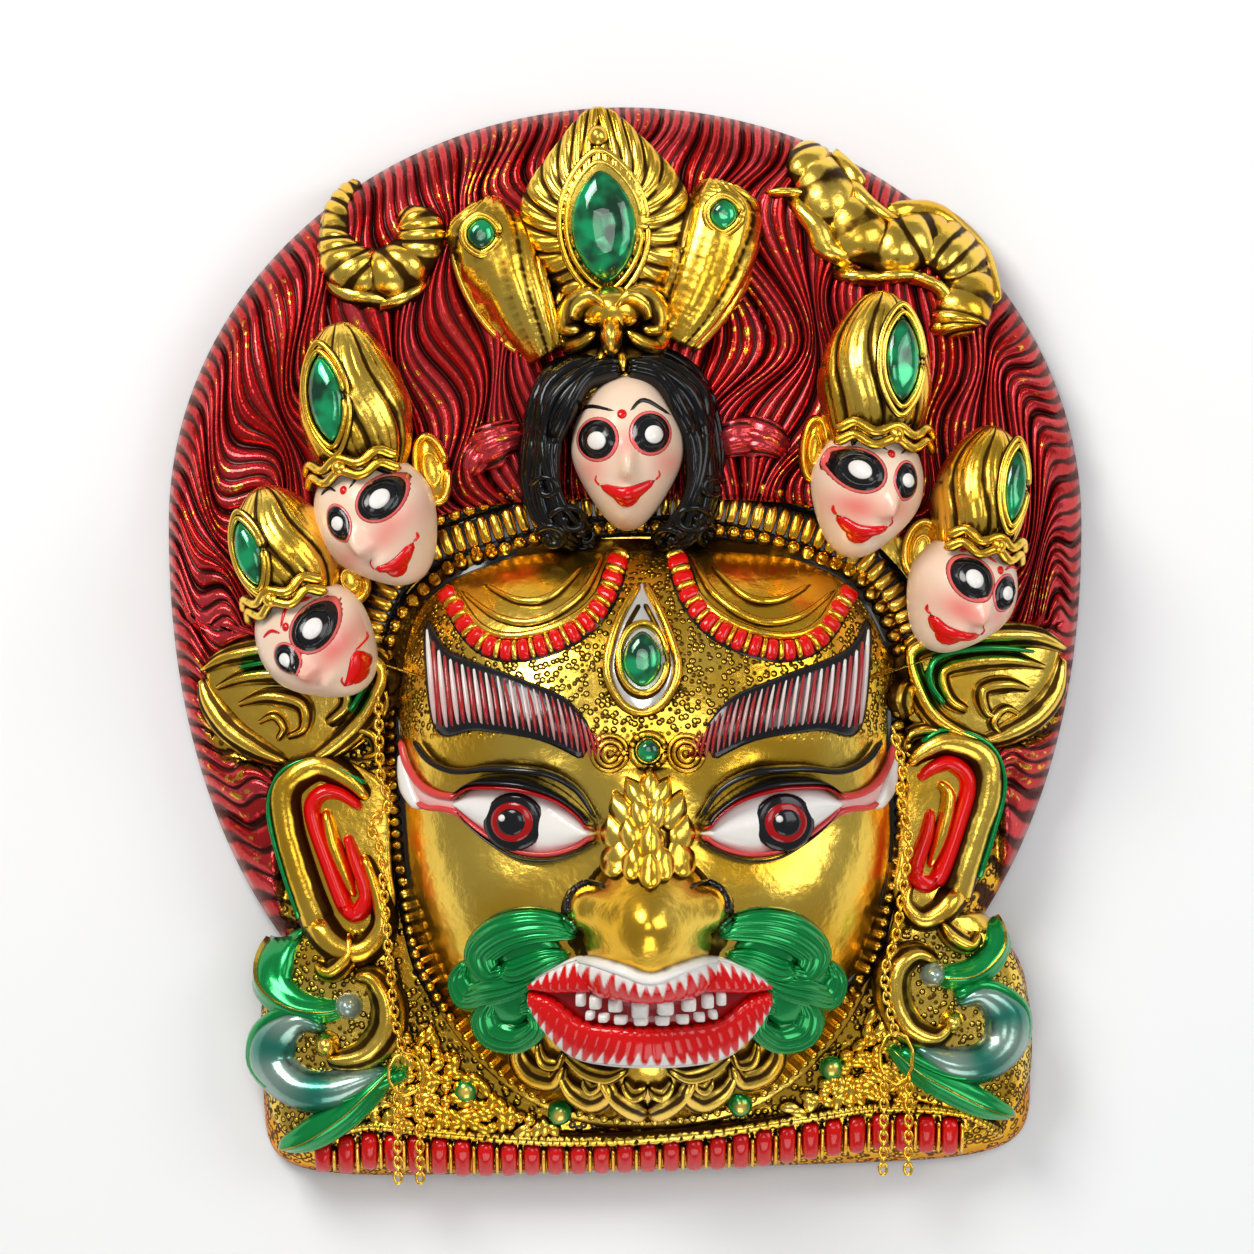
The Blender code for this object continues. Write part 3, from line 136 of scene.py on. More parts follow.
def smooth_path(points, steps=6):
    """Points of a Catmull-Rom curve through the given ones, with their widths."""
    p = np.array(points, float)
    p = np.vstack([2 * p[0] - p[1], p, 2 * p[-1] - p[-2]])
    made = []
    for a, b, c, d in zip(p, p[1:], p[2:], p[3:]):
        for t in np.linspace(0.0, 1.0, steps, endpoint=False):
            made.append(0.5 * (2 * b + (c - a) * t + (2 * a - 5 * b + 4 * c - d) * t**2
                               + (3 * b - a - 3 * c + d) * t**3))
    made.append(p[-2])
    return np.array(made)


def traced(path):
    """Millimetre places and widths of points given in the photograph's pixels."""
    scale = np.array([PHOTO_PITCH, -PHOTO_PITCH] + [PHOTO_PITCH] * (len(path[0]) - 2))
    origin = np.array([*PHOTO_ORIGIN] + [0.0] * (len(path[0]) - 2))
    return (np.array(path, float) - origin) * scale


def across_face(path):
    """The same millimetre path on the other side of the great face."""
    other = np.array(path, float)
    other[:, 0] = 2.0 * FACE_X - other[:, 0]
    return other


def spaced(path, pitch):
    """Places at an even pitch along a smooth path, with the direction at each."""
    pts = smooth_path(path, 12)
    along = np.concatenate([[0.0], np.cumsum(np.hypot(*np.diff(pts[:, :2], axis=0).T))])
    count = max(2, int(round(along[-1] / pitch)) + 1)
    at = np.linspace(0.0, along[-1], count)
    x, y = np.interp(at, along, pts[:, 0]), np.interp(at, along, pts[:, 1])
    return np.stack([x, y, np.arctan2(np.gradient(y), np.gradient(x))], axis=1)


def outline_level(x, y):
    """Below 1 inside the sheet: the halo of hair, or the collar and shoulders."""
    up = round_level(x, y, (0.0, HALO_CENTRE_Y), (HALO_HALF_WIDTH, HALO_UP))
    down = round_level(x, y, (0.0, HALO_CENTRE_Y), (HALO_HALF_WIDTH, HALO_DOWN), 2.2)
    halo = np.where(y > HALO_CENTRE_Y, up, down)
    dx, dy = x - COLLAR_CENTRE[0], y - COLLAR_CENTRE[1]
    u = dx * math.cos(COLLAR_TILT) + dy * math.sin(COLLAR_TILT)
    v = dy * math.cos(COLLAR_TILT) - dx * math.sin(COLLAR_TILT)
    shoulder = round_level(u, v, (0.0, 0.0), (COLLAR_HALF_WIDTH, COLLAR_UP), 2.6)
    base = round_level(u, v, (0.0, 0.0), (COLLAR_HALF_WIDTH, COLLAR_DOWN), 8.0)
    return np.minimum(halo, np.where(v > 0.0, shoulder, base))


def edge_table():
    """Distance from the pole to the sheet's edge, for evenly spaced directions."""
    angle = np.linspace(-math.pi, math.pi, 1441)
    near, far = np.full_like(angle, 60.0), np.full_like(angle, 320.0)
    for _ in range(40):
        middle = (near + far) / 2.0
        level = outline_level(POLE[0] + middle * np.cos(angle), POLE[1] + middle * np.sin(angle))
        near, far = np.where(level < 1.0, middle, near), np.where(level < 1.0, far, middle)
    return angle, near


EDGE_ANGLES, EDGE_RADII = edge_table()


def edge_radius(angle):
    """Distance from the pole to the sheet's edge in each direction."""
    turn = (angle + math.pi) % (2.0 * math.pi) - math.pi
    return np.interp(turn, EDGE_ANGLES, EDGE_RADII)


def face_level(x, y):
    """0 at the middle of the great face and 1 on its border."""
    up = round_level(x, y, (FACE_X, FACE_Y), (FACE_HALF_WIDTH, FACE_UP), 3.6)
    down = round_level(x, y, (FACE_X, FACE_Y), (FACE_HALF_WIDTH, FACE_DOWN), 2.3)
    return np.where(y > FACE_Y, up, down)


def level_curve(level, start, end, count=120):
    """Places on a level of the great face, between two directions in degrees."""
    angle = np.radians(np.linspace(start, end, count))
    near, far = np.zeros(count), np.full(count, 260.0)
    for _ in range(30):
        middle = (near + far) / 2.0
        inside = face_level(FACE_X + middle * np.cos(angle), FACE_Y + middle * np.sin(angle)) < level
        near, far = np.where(inside, middle, near), np.where(inside, far, middle)
    return np.stack([FACE_X + near * np.cos(angle), FACE_Y + near * np.sin(angle)], axis=1)


def bump(u, v, height, reach):
    return height * np.exp(-(u / reach) ** 2 - (v / reach) ** 2)


def base_form(x, y):
    """Height of the beaten halo and collar without the great face."""
    away = np.hypot(x - POLE[0], y - POLE[1])
    inside = np.clip(edge_radius(np.arctan2(y - POLE[1], x - POLE[0])) - away, 0.0, None)
    z = HEM_HEIGHT + EDGE_RISE * (1.0 - np.exp(-inside / EDGE_RUN))
    return z + DOME_RISE * np.exp(-((x - FACE_X) / DOME_REACH[0]) ** 2 - ((y - FACE_Y) / DOME_REACH[1]) ** 2)


def nose_form(u, y):
    """Height of the nose: ridge, body, round tip and wings, run into one another."""
    body = NOSE_HEIGHT * np.clip(1.0 - round_level(u, y, (0.0, NOSE_TIP_Y), NOSE_HALF) ** 2, 0.0, 1.0) ** 0.85
    bulb = bump(u * 0.8, y - NOSE_TIP_Y + 1.0, NOSE_BULB[2], NOSE_BULB[1])
    wing = pad(round_level(u, y, NOSTRIL, NOSTRIL_HALF[:2]), NOSTRIL_HALF[2])
    up = np.clip((BRIDGE_TOP - y) / (BRIDGE_TOP - NOSE_TIP_Y), 0.0, 1.0)
    ridge = NOSE_HEIGHT * 0.9 * up**0.8 * np.exp(-(u / 12.0) ** 2)
    ridge = ridge * smooth_step(NOSE_TIP_Y - 8.0, NOSE_TIP_Y, y)
    main = np.maximum(body + bulb, ridge)
    return np.cbrt(main**3 + wing**3)


def face_form(x, y):
    """Height that the great face adds to the sheet: a high dome with nose, sockets, cheeks and chin."""
    u = np.abs(x - FACE_X)
    level = np.clip(face_level(x, y), 0.0, 1.0)
    z = FACE_RISE * (1.0 - level**3) ** 0.72
    z = z + nose_form(u, y)
    z = z - bump((u - EYE[0]) * 0.62, y - EYE[1], 6.0, 19.0)
    z = z + bump((u - 48.0) * 0.6, y + 36.0, 6.0, 15.0)
    z = z + bump(u - 62.0, y + 108.0, 5.0, 28.0)
    z = z + bump(u * 0.55, y - MOUTH_Y, 12.0, 24.0)
    return z + bump(u * 0.8, y + 176.0, 14.0, 16.0)


def lock_flow(share, root):
    """Direction from the pole of the hair that leaves its root in that direction."""
    edge = np.minimum(root - LOCK_FROM, LOCK_TO - root)
    lean = SWEEP * np.cos(root) * smooth_step(0.0, 0.35, edge)
    wave = 0.035 * np.sin(share * 16.0) * smooth_step(1.0, 0.9, share)
    return root + lean * smooth_step(HALO_FROM, 1.0, share) + wave


def lock_crest(x, y):
    """1 along the crest of each lock and 0 in the grooves between locks."""
    angle = np.arctan2(y - POLE[1], x - POLE[0])
    angle = np.where(angle < LOCK_FROM, angle + 2.0 * math.pi, angle)
    share = np.hypot(x - POLE[0], y - POLE[1]) / edge_radius(angle)
    root = angle
    for _ in range(6):
        root = root - (lock_flow(share, root) - angle)
    phase = (root - LOCK_FROM) / (LOCK_TO - LOCK_FROM) * LOCKS
    crest = np.abs(np.cos(phase * math.pi)) ** 0.8
    edge = np.minimum(root - LOCK_FROM, LOCK_TO - root)
    return crest * smooth_step(0.0, 0.12, edge) * smooth_step(0.34, HALO_FROM, share) * smooth_step(1.0, 0.93, share)


class Bed:
    """Heights on a square grid of places, read between them, for what is laid on a surface."""

    def __init__(self, low, high, pitch, height_of):
        self.low, self.pitch = low, pitch
        self.count = [int((b - a) / pitch) + 2 for a, b in zip(low, high)]
        x, y = np.meshgrid(*[a + pitch * np.arange(n) for a, n in zip(low, self.count)], indexing="ij")
        self.heights = height_of(x, y)

    def __call__(self, x, y):
        i = np.clip((x - self.low[0]) / self.pitch, 0.0, self.count[0] - 1.001)
        j = np.clip((y - self.low[1]) / self.pitch, 0.0, self.count[1] - 1.001)
        a, b = i.astype(int), j.astype(int)
        s, t = i - a, j - b
        z = self.heights
        return (z[a, b] * (1 - s) * (1 - t) + z[a + 1, b] * s * (1 - t)
                + z[a, b + 1] * (1 - s) * t + z[a + 1, b + 1] * s * t)


def front_height(x, y):
    """The front of the sheet with its locks and the great face, before the fine relief."""
    level = face_level(x, y)
    over = smooth_step(BAND_FOOT + 2.0, BAND_FOOT + 14.0, y)
    bare = (1.0 - over) * smooth_step(1.05, 1.15, level) + over * smooth_step(BAND_LEVEL, BAND_LEVEL + 0.1, level)
    return base_form(x, y) + face_form(x, y) + LOCK_RISE * lock_crest(x, y) * bare


FRONT = Bed((-190.0, -220.0), (190.0, 220.0), 0.6, front_height)


def side_height(x, y):
    """The sheet under the ears, crests and shoulder scrolls, where no hair is raised."""
    return base_form(x, y) + face_form(x, y) + 1.5


SIDE_BED = Bed((-190.0, -220.0), (190.0, 220.0), 1.0, side_height)
SIDE_GROUNDS = ((340, 852, 60, 100), (945, 838, 56, 98), (295, 705, 88, 62), (980, 688, 82, 58))


def side_cover(x, y):
    """1 over the ears and crests and along the great face's beaded edge, and 0 in open hair."""
    spots = [smooth_step(1.12, 0.94, round_level(x, y, ((cx - PHOTO_ORIGIN[0]) * PHOTO_PITCH,
                                                        (PHOTO_ORIGIN[1] - cy) * PHOTO_PITCH),
                                                 (across * PHOTO_PITCH, up * PHOTO_PITCH), 3.0))
             for cx, cy, across, up in SIDE_GROUNDS]
    edge = smooth_step(1.24, 1.18, face_level(x, y)) * smooth_step(12.0, 4.0, y)
    return np.maximum.reduce([*spots, edge])


def lean_of(bed, x, y, step=1.0):
    """Unit normals of a bed."""
    gx = (bed(x + step, y) - bed(x - step, y)) / (2.0 * step)
    gy = (bed(x, y + step) - bed(x, y - step)) / (2.0 * step)
    long = np.sqrt(gx**2 + gy**2 + 1.0)
    return -gx / long, -gy / long, 1.0 / long


class Work:
    """A mesh being made in millimetres, with a groove value, which the finishes turn into patina and painted shade, and
    a paint colour at each point.
    """

    def __init__(self, bed=FRONT, matrix=None):
        self.shape = bmesh.new()
        self.groove = self.shape.verts.layers.float.new("groove")
        self.paint = self.shape.verts.layers.float_color.new("paint")
        self.bed = bed
        self.matrix = matrix
        self.ink = (1.0, 1.0, 1.0)
        self.other = (1.0, 1.0, 1.0)

    def using(self, ink, other=None):
        """Sets the colour of what is laid next, and the colour that a full tint turns it to."""
        self.ink, self.other = tuple(ink), tuple(other or ink)
        return self

    def sheet(self, across, along, place):
        """A grid whose points go where place says: u and v run from -1 to 1."""
        made = bmesh.ops.create_grid(self.shape, x_segments=across, y_segments=along, size=1.0)["verts"]
        co = np.array([v.co for v in made])
        x, y, z, groove, tint = np.broadcast_arrays(*place(co[:, 0], co[:, 1]))
        points = np.stack([x, y, z], axis=1)
        if self.matrix is not None:
            points = points @ np.array(self.matrix.to_3x3()).T + np.array(self.matrix.translation)
        ink, other = np.array(self.ink), np.array(self.other)
        shade = ink + np.clip(tint, 0.0, 1.0)[:, None] * (other - ink)
        for v, point, g, c in zip(made, points.tolist(), groove.tolist(), shade.tolist()):
            v.co = point
            v[self.groove] = g
            v[self.paint] = (*c, 1.0)

    def roll(self, path, rise, sides=8, steps=5, sink=1.2, lift=0.0, carve=None, tint=0.0, sharp=1.0):
        """A round-backed roll laid along (x, y, half-width) points and shut at both ends."""
        pts = smooth_path(path, steps)
        pts[:, 2] = np.maximum(pts[:, 2], 0.15)
        spot = np.linspace(-1.0, 1.0, len(pts))
        run = np.gradient(pts[:, :2], axis=0)
        run = run / np.maximum(np.hypot(run[:, 0], run[:, 1]), 1e-9)[:, None]
        long = np.hypot(*np.diff(pts[:, :2], axis=0).T).sum()
        widest = pts[:, 2].max()

        def place(u, v):
            cx, cy, width = (np.interp(v, spot, pts[:, i]) for i in range(3))
            dx, dy = np.interp(v, spot, run[:, 0]), np.interp(v, spot, run[:, 1])
            angle = u * math.pi
            away = (1.0 - np.abs(v)) * long / 2.0
            end = np.sqrt(np.clip(away / width, 0.0, 1.0))
            side = width * np.sin(angle) * end
            x, y = cx - dy * side, cy + dx * side
            high = rise * np.sqrt(width / widest)
            cosine = np.cos(angle)
            # The groove value rises down the roll's sides and under it, and in carved cuts: painted shade at its foot
            # and in the cuts.
            groove = np.clip(1.0 - cosine, 0.0, 1.0) ** 1.5
            if carve is not None:
                factor, cut = carve(angle, (v + 1.0) / 2.0 * long, v)
                high = high * factor
                groove = np.clip(groove + cut, 0.0, 1.0)
            up = np.where(cosine > 0.0, high * np.clip(cosine, 0.0, 1.0) ** sharp, sink * cosine) * end + lift
            nx, ny, nz = lean_of(self.bed, x, y)
            level = tint(v * 0.5 + 0.5) if callable(tint) else tint
            return x + nx * up, y + ny * up, self.bed(x, y) + nz * up, groove, level + 0.0 * v

        self.sheet(sides, len(pts) - 1, place)

    def ruled(self, one, two, rise, sides=16, along=40, sink=1.0, lift=0.0, carve=None, power=0.6, tone=None):
        """A closed pillow between two edges. Its tint runs from the first edge to the second."""
        a, b = smooth_path(one), smooth_path(two)

        def place(u, v):
            t = (v + 1.0) / 2.0
            angle = u * math.pi
            cosine = np.cos(angle)
            end = np.clip((1.0 - np.abs(v)) * 14.0, 0.0, 1.0) ** 0.5
            s = 0.5 + 0.5 * np.sin(angle) * end
            ax, ay = (np.interp(t * (len(a) - 1), np.arange(len(a)), a[:, i]) for i in (0, 1))
            bx, by = (np.interp(t * (len(b) - 1), np.arange(len(b)), b[:, i]) for i in (0, 1))
            x, y = ax + (bx - ax) * s, ay + (by - ay) * s
            up = np.where(cosine > 0.0, rise * np.clip(cosine, 0.0, 1.0) ** power, sink * cosine) * end + lift
            # The groove value rises at both edges of the pillow: painted shade where it meets the bed.
            groove = np.clip(1.0 - np.abs(cosine) * 2.5, 0.0, 1.0)
            if carve is not None:
                more, cut = carve(x, y, s, t)
                up = up + np.where(cosine > 0.0, more * end, 0.0)
                groove = np.clip(groove + cut, 0.0, 1.0)
            nx, ny, nz = lean_of(self.bed, x, y)
            level = s if tone is None else tone(s, t)
            return x + nx * up, y + ny * up, self.bed(x, y) + nz * up, groove, level

        self.sheet(sides, along, place)

    def dome(self, x, y, half, rise, roll=0.0, spokes=12, rings=6, tint=0.0, lift=0.0, pointed=0.0, shade=None,
             square=1.0):
        """A closed boss on the bed, round or drawn to a point at its upper end."""
        nx, ny, nz = lean_of(self.bed, np.array([float(x)]), np.array([float(y)]))

        def place(u, v):
            turn, reach = u * math.pi, (v + 1.0) / 2.0
            arc = reach * math.pi
            narrow = 1.0 - pointed * np.clip(np.sin(turn), 0.0, 1.0) ** 1.5
            ca, sa = (np.sign(w) * np.abs(w) ** square for w in (np.cos(turn), np.sin(turn)))
            a, b = half[0] * np.sin(arc) ** square * ca * narrow, half[1] * np.sin(arc) ** square * sa
            px = x + a * math.cos(roll) - b * math.sin(roll)
            py = y + a * math.sin(roll) + b * math.cos(roll)
            cosine = np.cos(arc)
            up = np.where(cosine > 0.0, rise, 0.5 * rise) * cosine + lift
            level = tint if shade is None else shade(turn, np.sin(arc))
            # The groove value covers the lower half of the boss: painted shade at its foot.
            return (px + nx * up, py + ny * up, self.bed(px, py) + nz * up,
                    smooth_step(0.3, 0.5, reach), level + 0.0 * u)

        self.sheet(spokes, rings, place)

    def beads(self, places, radius, rise, **more):
        """A row of like bosses."""
        for x, y, *_ in places:
            self.dome(x, y, (radius, radius), rise, **more)

    def ball(self, half, form=None, spokes=64, rings=48):
        """A closed ball of those half sizes about the matrix's origin, with an optional change of form."""
        def place(u, v):
            turn, rise = u * math.pi, v * math.pi / 2.0
            a, b, c = np.cos(rise) * np.sin(turn), np.sin(rise), np.cos(rise) * np.cos(turn)
            groove, tint = np.zeros_like(a), np.zeros_like(a)
            if form is not None:
                a, b, c, groove, tint = form(a, b, c)
            return a * half[0], b * half[1], c * half[2], groove, tint

        self.sheet(spokes, rings, place)

    def finish(self, name, material, slot="gilt_sheet", replaced=(), merge=1e-3):
        """Welds and closes the mesh, turns it into metres and links it as a piece."""
        bmesh.ops.remove_doubles(self.shape, verts=self.shape.verts, dist=merge)
        bmesh.ops.dissolve_degenerate(self.shape, edges=self.shape.edges, dist=merge)
        bmesh.ops.recalc_face_normals(self.shape, faces=self.shape.faces)
        bmesh.ops.scale(self.shape, vec=(MM, MM, MM), verts=self.shape.verts)
        mesh = bpy.data.meshes.new(name)
        self.shape.to_mesh(mesh)
        self.shape.free()
        mesh.polygons.foreach_set("use_smooth", [True] * len(mesh.polygons))
        mesh.materials.append(material)
        piece = bpy.data.objects.new(name, mesh)
        bpy.context.scene.collection.objects.link(piece)
        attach(piece, "root")
        if replaced:
            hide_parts(*replaced)
        return piece


class Term:
    """A shader value, so that finishes are written as sums and products."""

    def __init__(self, finish, socket):
        self.finish, self.socket = finish, socket

    def maths(self, operation, other=0.0, swapped=False):
        values = [other, self] if swapped else [self, other]
        return self.finish.node("ShaderNodeMath", {"operation": operation}, dict(enumerate(values)))

    def __add__(self, other):
        return self.maths("ADD", other)

    def __radd__(self, other):
        return self.maths("ADD", other)

    def __sub__(self, other):
        return self.maths("SUBTRACT", other)

    def __rsub__(self, other):
        return self.maths("SUBTRACT", other, True)

    def __mul__(self, other):
        return self.maths("MULTIPLY", other)

    def __rmul__(self, other):
        return self.maths("MULTIPLY", other)

    def __truediv__(self, other):
        return self.maths("DIVIDE", other)

    def __rtruediv__(self, other):
        return self.maths("DIVIDE", other, True)

    def __pow__(self, other):
        return self.maths("POWER", other)

    def between(self, low, high):
        """0 below low, 1 above high, smooth between."""
        return self.finish.node("ShaderNodeMapRange", {"interpolation_type": "SMOOTHSTEP"},
                                {"Value": self, "From Min": low, "From Max": high})


class Finish:
    """A material being put together around one Principled shader."""

    def __init__(self, name, **constants):
        self.material = bpy.data.materials.new(name)
        self.material.use_nodes = True
        self.tree = self.material.node_tree
        self.shader = self.tree.nodes["Principled BSDF"]
        for socket, value in constants.items():
            self.shader.inputs[socket.replace("_", " ")].default_value = value

    def node(self, kind, settings=None, values=None, output=0):
        """A node with its settings made first, then the values or links of its sockets."""
        made = self.tree.nodes.new(kind)
        for name, value in (settings or {}).items():
            setattr(made, name, value)
        for name, value in (values or {}).items():
            if isinstance(value, Term):
                self.tree.links.new(value.socket, made.inputs[name])
            else:
                made.inputs[name].default_value = value
        return Term(self, made.outputs[output])

    def attribute(self, name, output="Fac"):
        return self.node("ShaderNodeAttribute", {"attribute_name": name}, output=output)

    def noise(self, per_mm, detail=3.0):
        """Noise from 0 to 1 with so many waves to the millimetre."""
        where = self.node("ShaderNodeTexCoord", output="Object")
        return self.node("ShaderNodeTexNoise", {}, {"Vector": where, "Scale": per_mm / MM, "Detail": detail})

    def cells(self, pitch):
        """Distance from the middle of the nearest cell, as a share of the pitch."""
        where = self.node("ShaderNodeTexCoord", output="Object")
        return self.node("ShaderNodeTexVoronoi", {}, {"Vector": where, "Scale": 1.0 / (pitch * MM)},
                         output="Distance")

    def blend(self, factor, one, two):
        """Colours one and two mixed by a factor."""
        made = self.tree.nodes.new("ShaderNodeMix")
        made.data_type = "RGBA"
        for socket, value in ((made.inputs[0], factor), (made.inputs[6], one), (made.inputs[7], two)):
            if isinstance(value, Term):
                self.tree.links.new(value.socket, socket)
            else:
                socket.default_value = value if socket is made.inputs[0] else (*tuple(value)[:3], 1.0)
        return Term(self, made.outputs[2])

    def bumped(self, height, distance):
        self.drive("Normal", self.node("ShaderNodeBump", {}, {"Height": height, "Distance": distance * MM}))

    def drive(self, socket, value):
        self.tree.links.new(value.socket, self.shader.inputs[socket])


def gilt(name, colours, dotted=False, dull=0.0):
    """Polished gilding with patina and painted shade in its grooves, hammer marks, and a stippled ground where painted.
    """
    finish = Finish(name, Metallic=1.0)
    groove = finish.attribute("groove")
    grime = finish.noise(0.12, 4.0)
    fine = finish.noise(1.1, 3.0)
    broad = finish.noise(0.02, 2.0)
    # Dark where the groove value is high is patina and painted shade in the hollows; the noise makes the patina uneven.
    dark = (groove * 1.4 + (grime - 0.5) * 0.9 + dull).between(0.26, 0.80)
    pale = finish.blend(broad.between(0.35, 0.65), colours.gold, colours.pale_gold)
    height = finish.noise(0.13, 2.0) * 1.15 + fine * 0.14
    if dotted:
        mask = finish.attribute("paint", "Alpha")
        spot = finish.cells(2.6)
        ring = (1.0 - (spot - 0.42) * (spot - 0.42) * 30.0).between(0.2, 0.9) * mask
        dark = (dark + ring * 0.85).between(0.0, 1.0)
        height = height + spot.between(0.55, 0.15) * mask * 1.6
    finish.drive("Base Color", finish.blend(dark, pale, colours.patina_and_shade))
    finish.drive("Roughness", (fine - 0.5) * 0.12 + 0.24 + dark * 0.25)
    finish.bumped(height, 0.4)
    return finish.material


def lacquer(name, colours):
    """Red glaze over bright metal, browner with painted shade in the grooves, with rubbed gold along some crests."""
    finish = Finish(name, Coat_Weight=0.2, Coat_Roughness=0.05, Specular_Tint=(1.0, 0.5, 0.45, 1.0))
    groove = finish.attribute("groove")
    shade = finish.attribute("paint", "Color")
    gold = finish.attribute("paint", "Alpha")
    patch = finish.noise(0.03, 2.0)
    worn = finish.noise(0.35, 3.0)
    rubbed = ((worn + patch * 0.9 - groove * 0.5).between(0.98, 1.14) * 0.9 + gold).between(0.0, 1.0)
    red = finish.blend(rubbed, shade, colours.gold)
    # Painted shade: brown to near black between strands and locks, along the rim, and on the hem and back.
    dark = (groove * 1.2 + (worn - 0.5) * 0.4).between(0.36, 0.90)
    spot = finish.cells(3.4)
    ring = (1.0 - (spot - 0.42) * (spot - 0.42) * 30.0).between(0.2, 0.9) * gold
    dark = (dark + ring * 0.8).between(0.0, 1.0)
    deep = finish.blend(gold, colours.hair_groove_shade, colours.patina_and_shade)
    finish.drive("Base Color", finish.blend(dark, red, deep))
    finish.drive("Metallic", rubbed * 0.3 + 0.7)
    finish.drive("Roughness", (worn - 0.5) * 0.14 + 0.17 + dark * 0.25)
    finish.bumped(worn + spot.between(0.55, 0.15) * gold * 2.5, 0.35)
    return finish.material


def enamel(name, metallic=0.0, rough=0.16, deepen=0.25, coat=0.2):
    """Glossy paint of the colour laid on the mesh, with painted shade in its grooves, and uneven from the brush."""
    finish = Finish(name, Coat_Weight=coat, Coat_Roughness=0.04, Metallic=metallic, Specular_IOR_Level=0.35)
    shade = finish.attribute("paint", "Color")
    groove = finish.attribute("groove")
    brush = finish.noise(0.3, 3.0)
    # Painted shade: the paint darkens to near black in the grooves, down the sides of rolls and at the feet of bosses.
    mask = (groove + (brush - 0.5) * 0.5).between(0.5, 1.1) * (1.0 - deepen)
    finish.drive("Base Color", finish.blend(mask, shade, (0.01, 0.005, 0.003)))
    finish.drive("Roughness", (brush - 0.5) * 0.12 + rough)
    finish.bumped(brush, 0.12)
    return finish.material


def glass(name, colours):
    """Clear green glass over foil, cut in flats that catch the light."""
    finish = Finish(name, Coat_Weight=1.0, Coat_Roughness=0.02, Roughness=0.12, Metallic=0.5)
    cut = finish.cells(9.0)
    small = finish.noise(0.09, 2.0)
    deep = tuple(c * 0.12 for c in colours.glass)
    finish.drive("Base Color", finish.blend((small + (cut - 0.4) * 0.3).between(0.35, 0.7), colours.glass, deep))
    finish.bumped(cut, 0.9)
    return finish.material


class MaskColours(bpy.types.PropertyGroup):
    """Colours of the mask's finishes, as linear values."""

    gold: bpy.props.FloatVectorProperty(name="Gold", description="Polished gilding", subtype="COLOR",
                                        default=(0.90, 0.50, 0.035))
    pale_gold: bpy.props.FloatVectorProperty(name="Pale gold", description="Brighter gilding", subtype="COLOR",
                                             default=(1.0, 0.68, 0.11))
    # Colour of the patina and painted shade in the grooves of the gilding.
    patina_and_shade: bpy.props.FloatVectorProperty(name="Patina", description="Dark left in grooves", subtype="COLOR",
                                          default=(0.05, 0.022, 0.004))
    hair_red: bpy.props.FloatVectorProperty(name="Hair red", description="Red glaze of the halo", subtype="COLOR",
                                            default=(0.44, 0.007, 0.006))
    hair_crimson: bpy.props.FloatVectorProperty(name="Hair crimson", description="Cooler glaze", subtype="COLOR",
                                                default=(0.64, 0.05, 0.06))
    # Colour of the painted shade in the halo's grooves.
    hair_groove_shade: bpy.props.FloatVectorProperty(name="Hair brown", description="Glaze in the grooves",
                                              subtype="COLOR", default=(0.05, 0.006, 0.004))
    green: bpy.props.FloatVectorProperty(name="Green", description="Green enamel", subtype="COLOR",
                                         default=(0.0, 0.30, 0.06))
    teal: bpy.props.FloatVectorProperty(name="Teal", description="Enamel of the scrolls", subtype="COLOR",
                                        default=(0.02, 0.22, 0.15))
    red: bpy.props.FloatVectorProperty(name="Red", description="Red enamel", subtype="COLOR",
                                       default=(0.66, 0.002, 0.002))
    skin: bpy.props.FloatVectorProperty(name="Skin", description="Paint of the small faces", subtype="COLOR",
                                        default=(0.83, 0.62, 0.46))
    blush: bpy.props.FloatVectorProperty(name="Blush", description="Pink of the cheeks", subtype="COLOR",
                                         default=(0.78, 0.12, 0.11))
    white: bpy.props.FloatVectorProperty(name="White", description="White enamel", subtype="COLOR",
                                         default=(0.80, 0.77, 0.72))
    black: bpy.props.FloatVectorProperty(name="Black", description="Black enamel", subtype="COLOR",
                                         default=(0.006, 0.006, 0.007))
    glass: bpy.props.FloatVectorProperty(name="Glass", description="Green glass of the stones", subtype="COLOR",
                                         default=(0.0, 0.42, 0.14))


class MaskSizes(bpy.types.PropertyGroup):
    """Sizes of the fine relief."""

    strand: bpy.props.FloatProperty(name="Strand height", description="Rise of a strand of hair over its lock",
                                    default=3.0 * MM, unit="LENGTH")
    bead: bpy.props.FloatProperty(name="Bead radius", description="Radius of the diadem's beads",
                                  default=2.9 * MM, unit="LENGTH")
    bead_pitch: bpy.props.FloatProperty(name="Bead pitch", description="Distance from bead to bead",
                                        default=6.2 * MM, unit="LENGTH")
    wire: bpy.props.FloatProperty(name="Chain wire", description="Thickness of the chains' wire",
                                  default=1.3 * MM, unit="LENGTH")


def material_of(kind):
    """A finish made once and shared by the pieces."""
    found = bpy.data.materials.get(f"mask_{kind}")
    if found:
        return found
    colours = bpy.context.scene.mask_colours
    makers = {
        "gilt": lambda: gilt("mask_gilt", colours),
        "dotted": lambda: gilt("mask_dotted", colours, dotted=True),
        "lacquer": lambda: lacquer("mask_lacquer", colours),
        "enamel": lambda: enamel("mask_enamel"),
        "hair": lambda: enamel("mask_hair", rough=0.16, deepen=0.0, coat=0.0),
        "foil": lambda: enamel("mask_foil", metallic=0.6, rough=0.22, deepen=0.0, coat=0.4),
        "skin": lambda: enamel("mask_skin", rough=0.3),
        "glass": lambda: glass("mask_glass", colours),
    }
    return makers[kind]()


# Shells: the halo with its strands, and the great face

STRAND_POINTS = 7
COLLAR_POINTS = 360
HALO_ROWS = 50
BACK_SHARES = (0.9, 0.75, 0.6, 0.42)


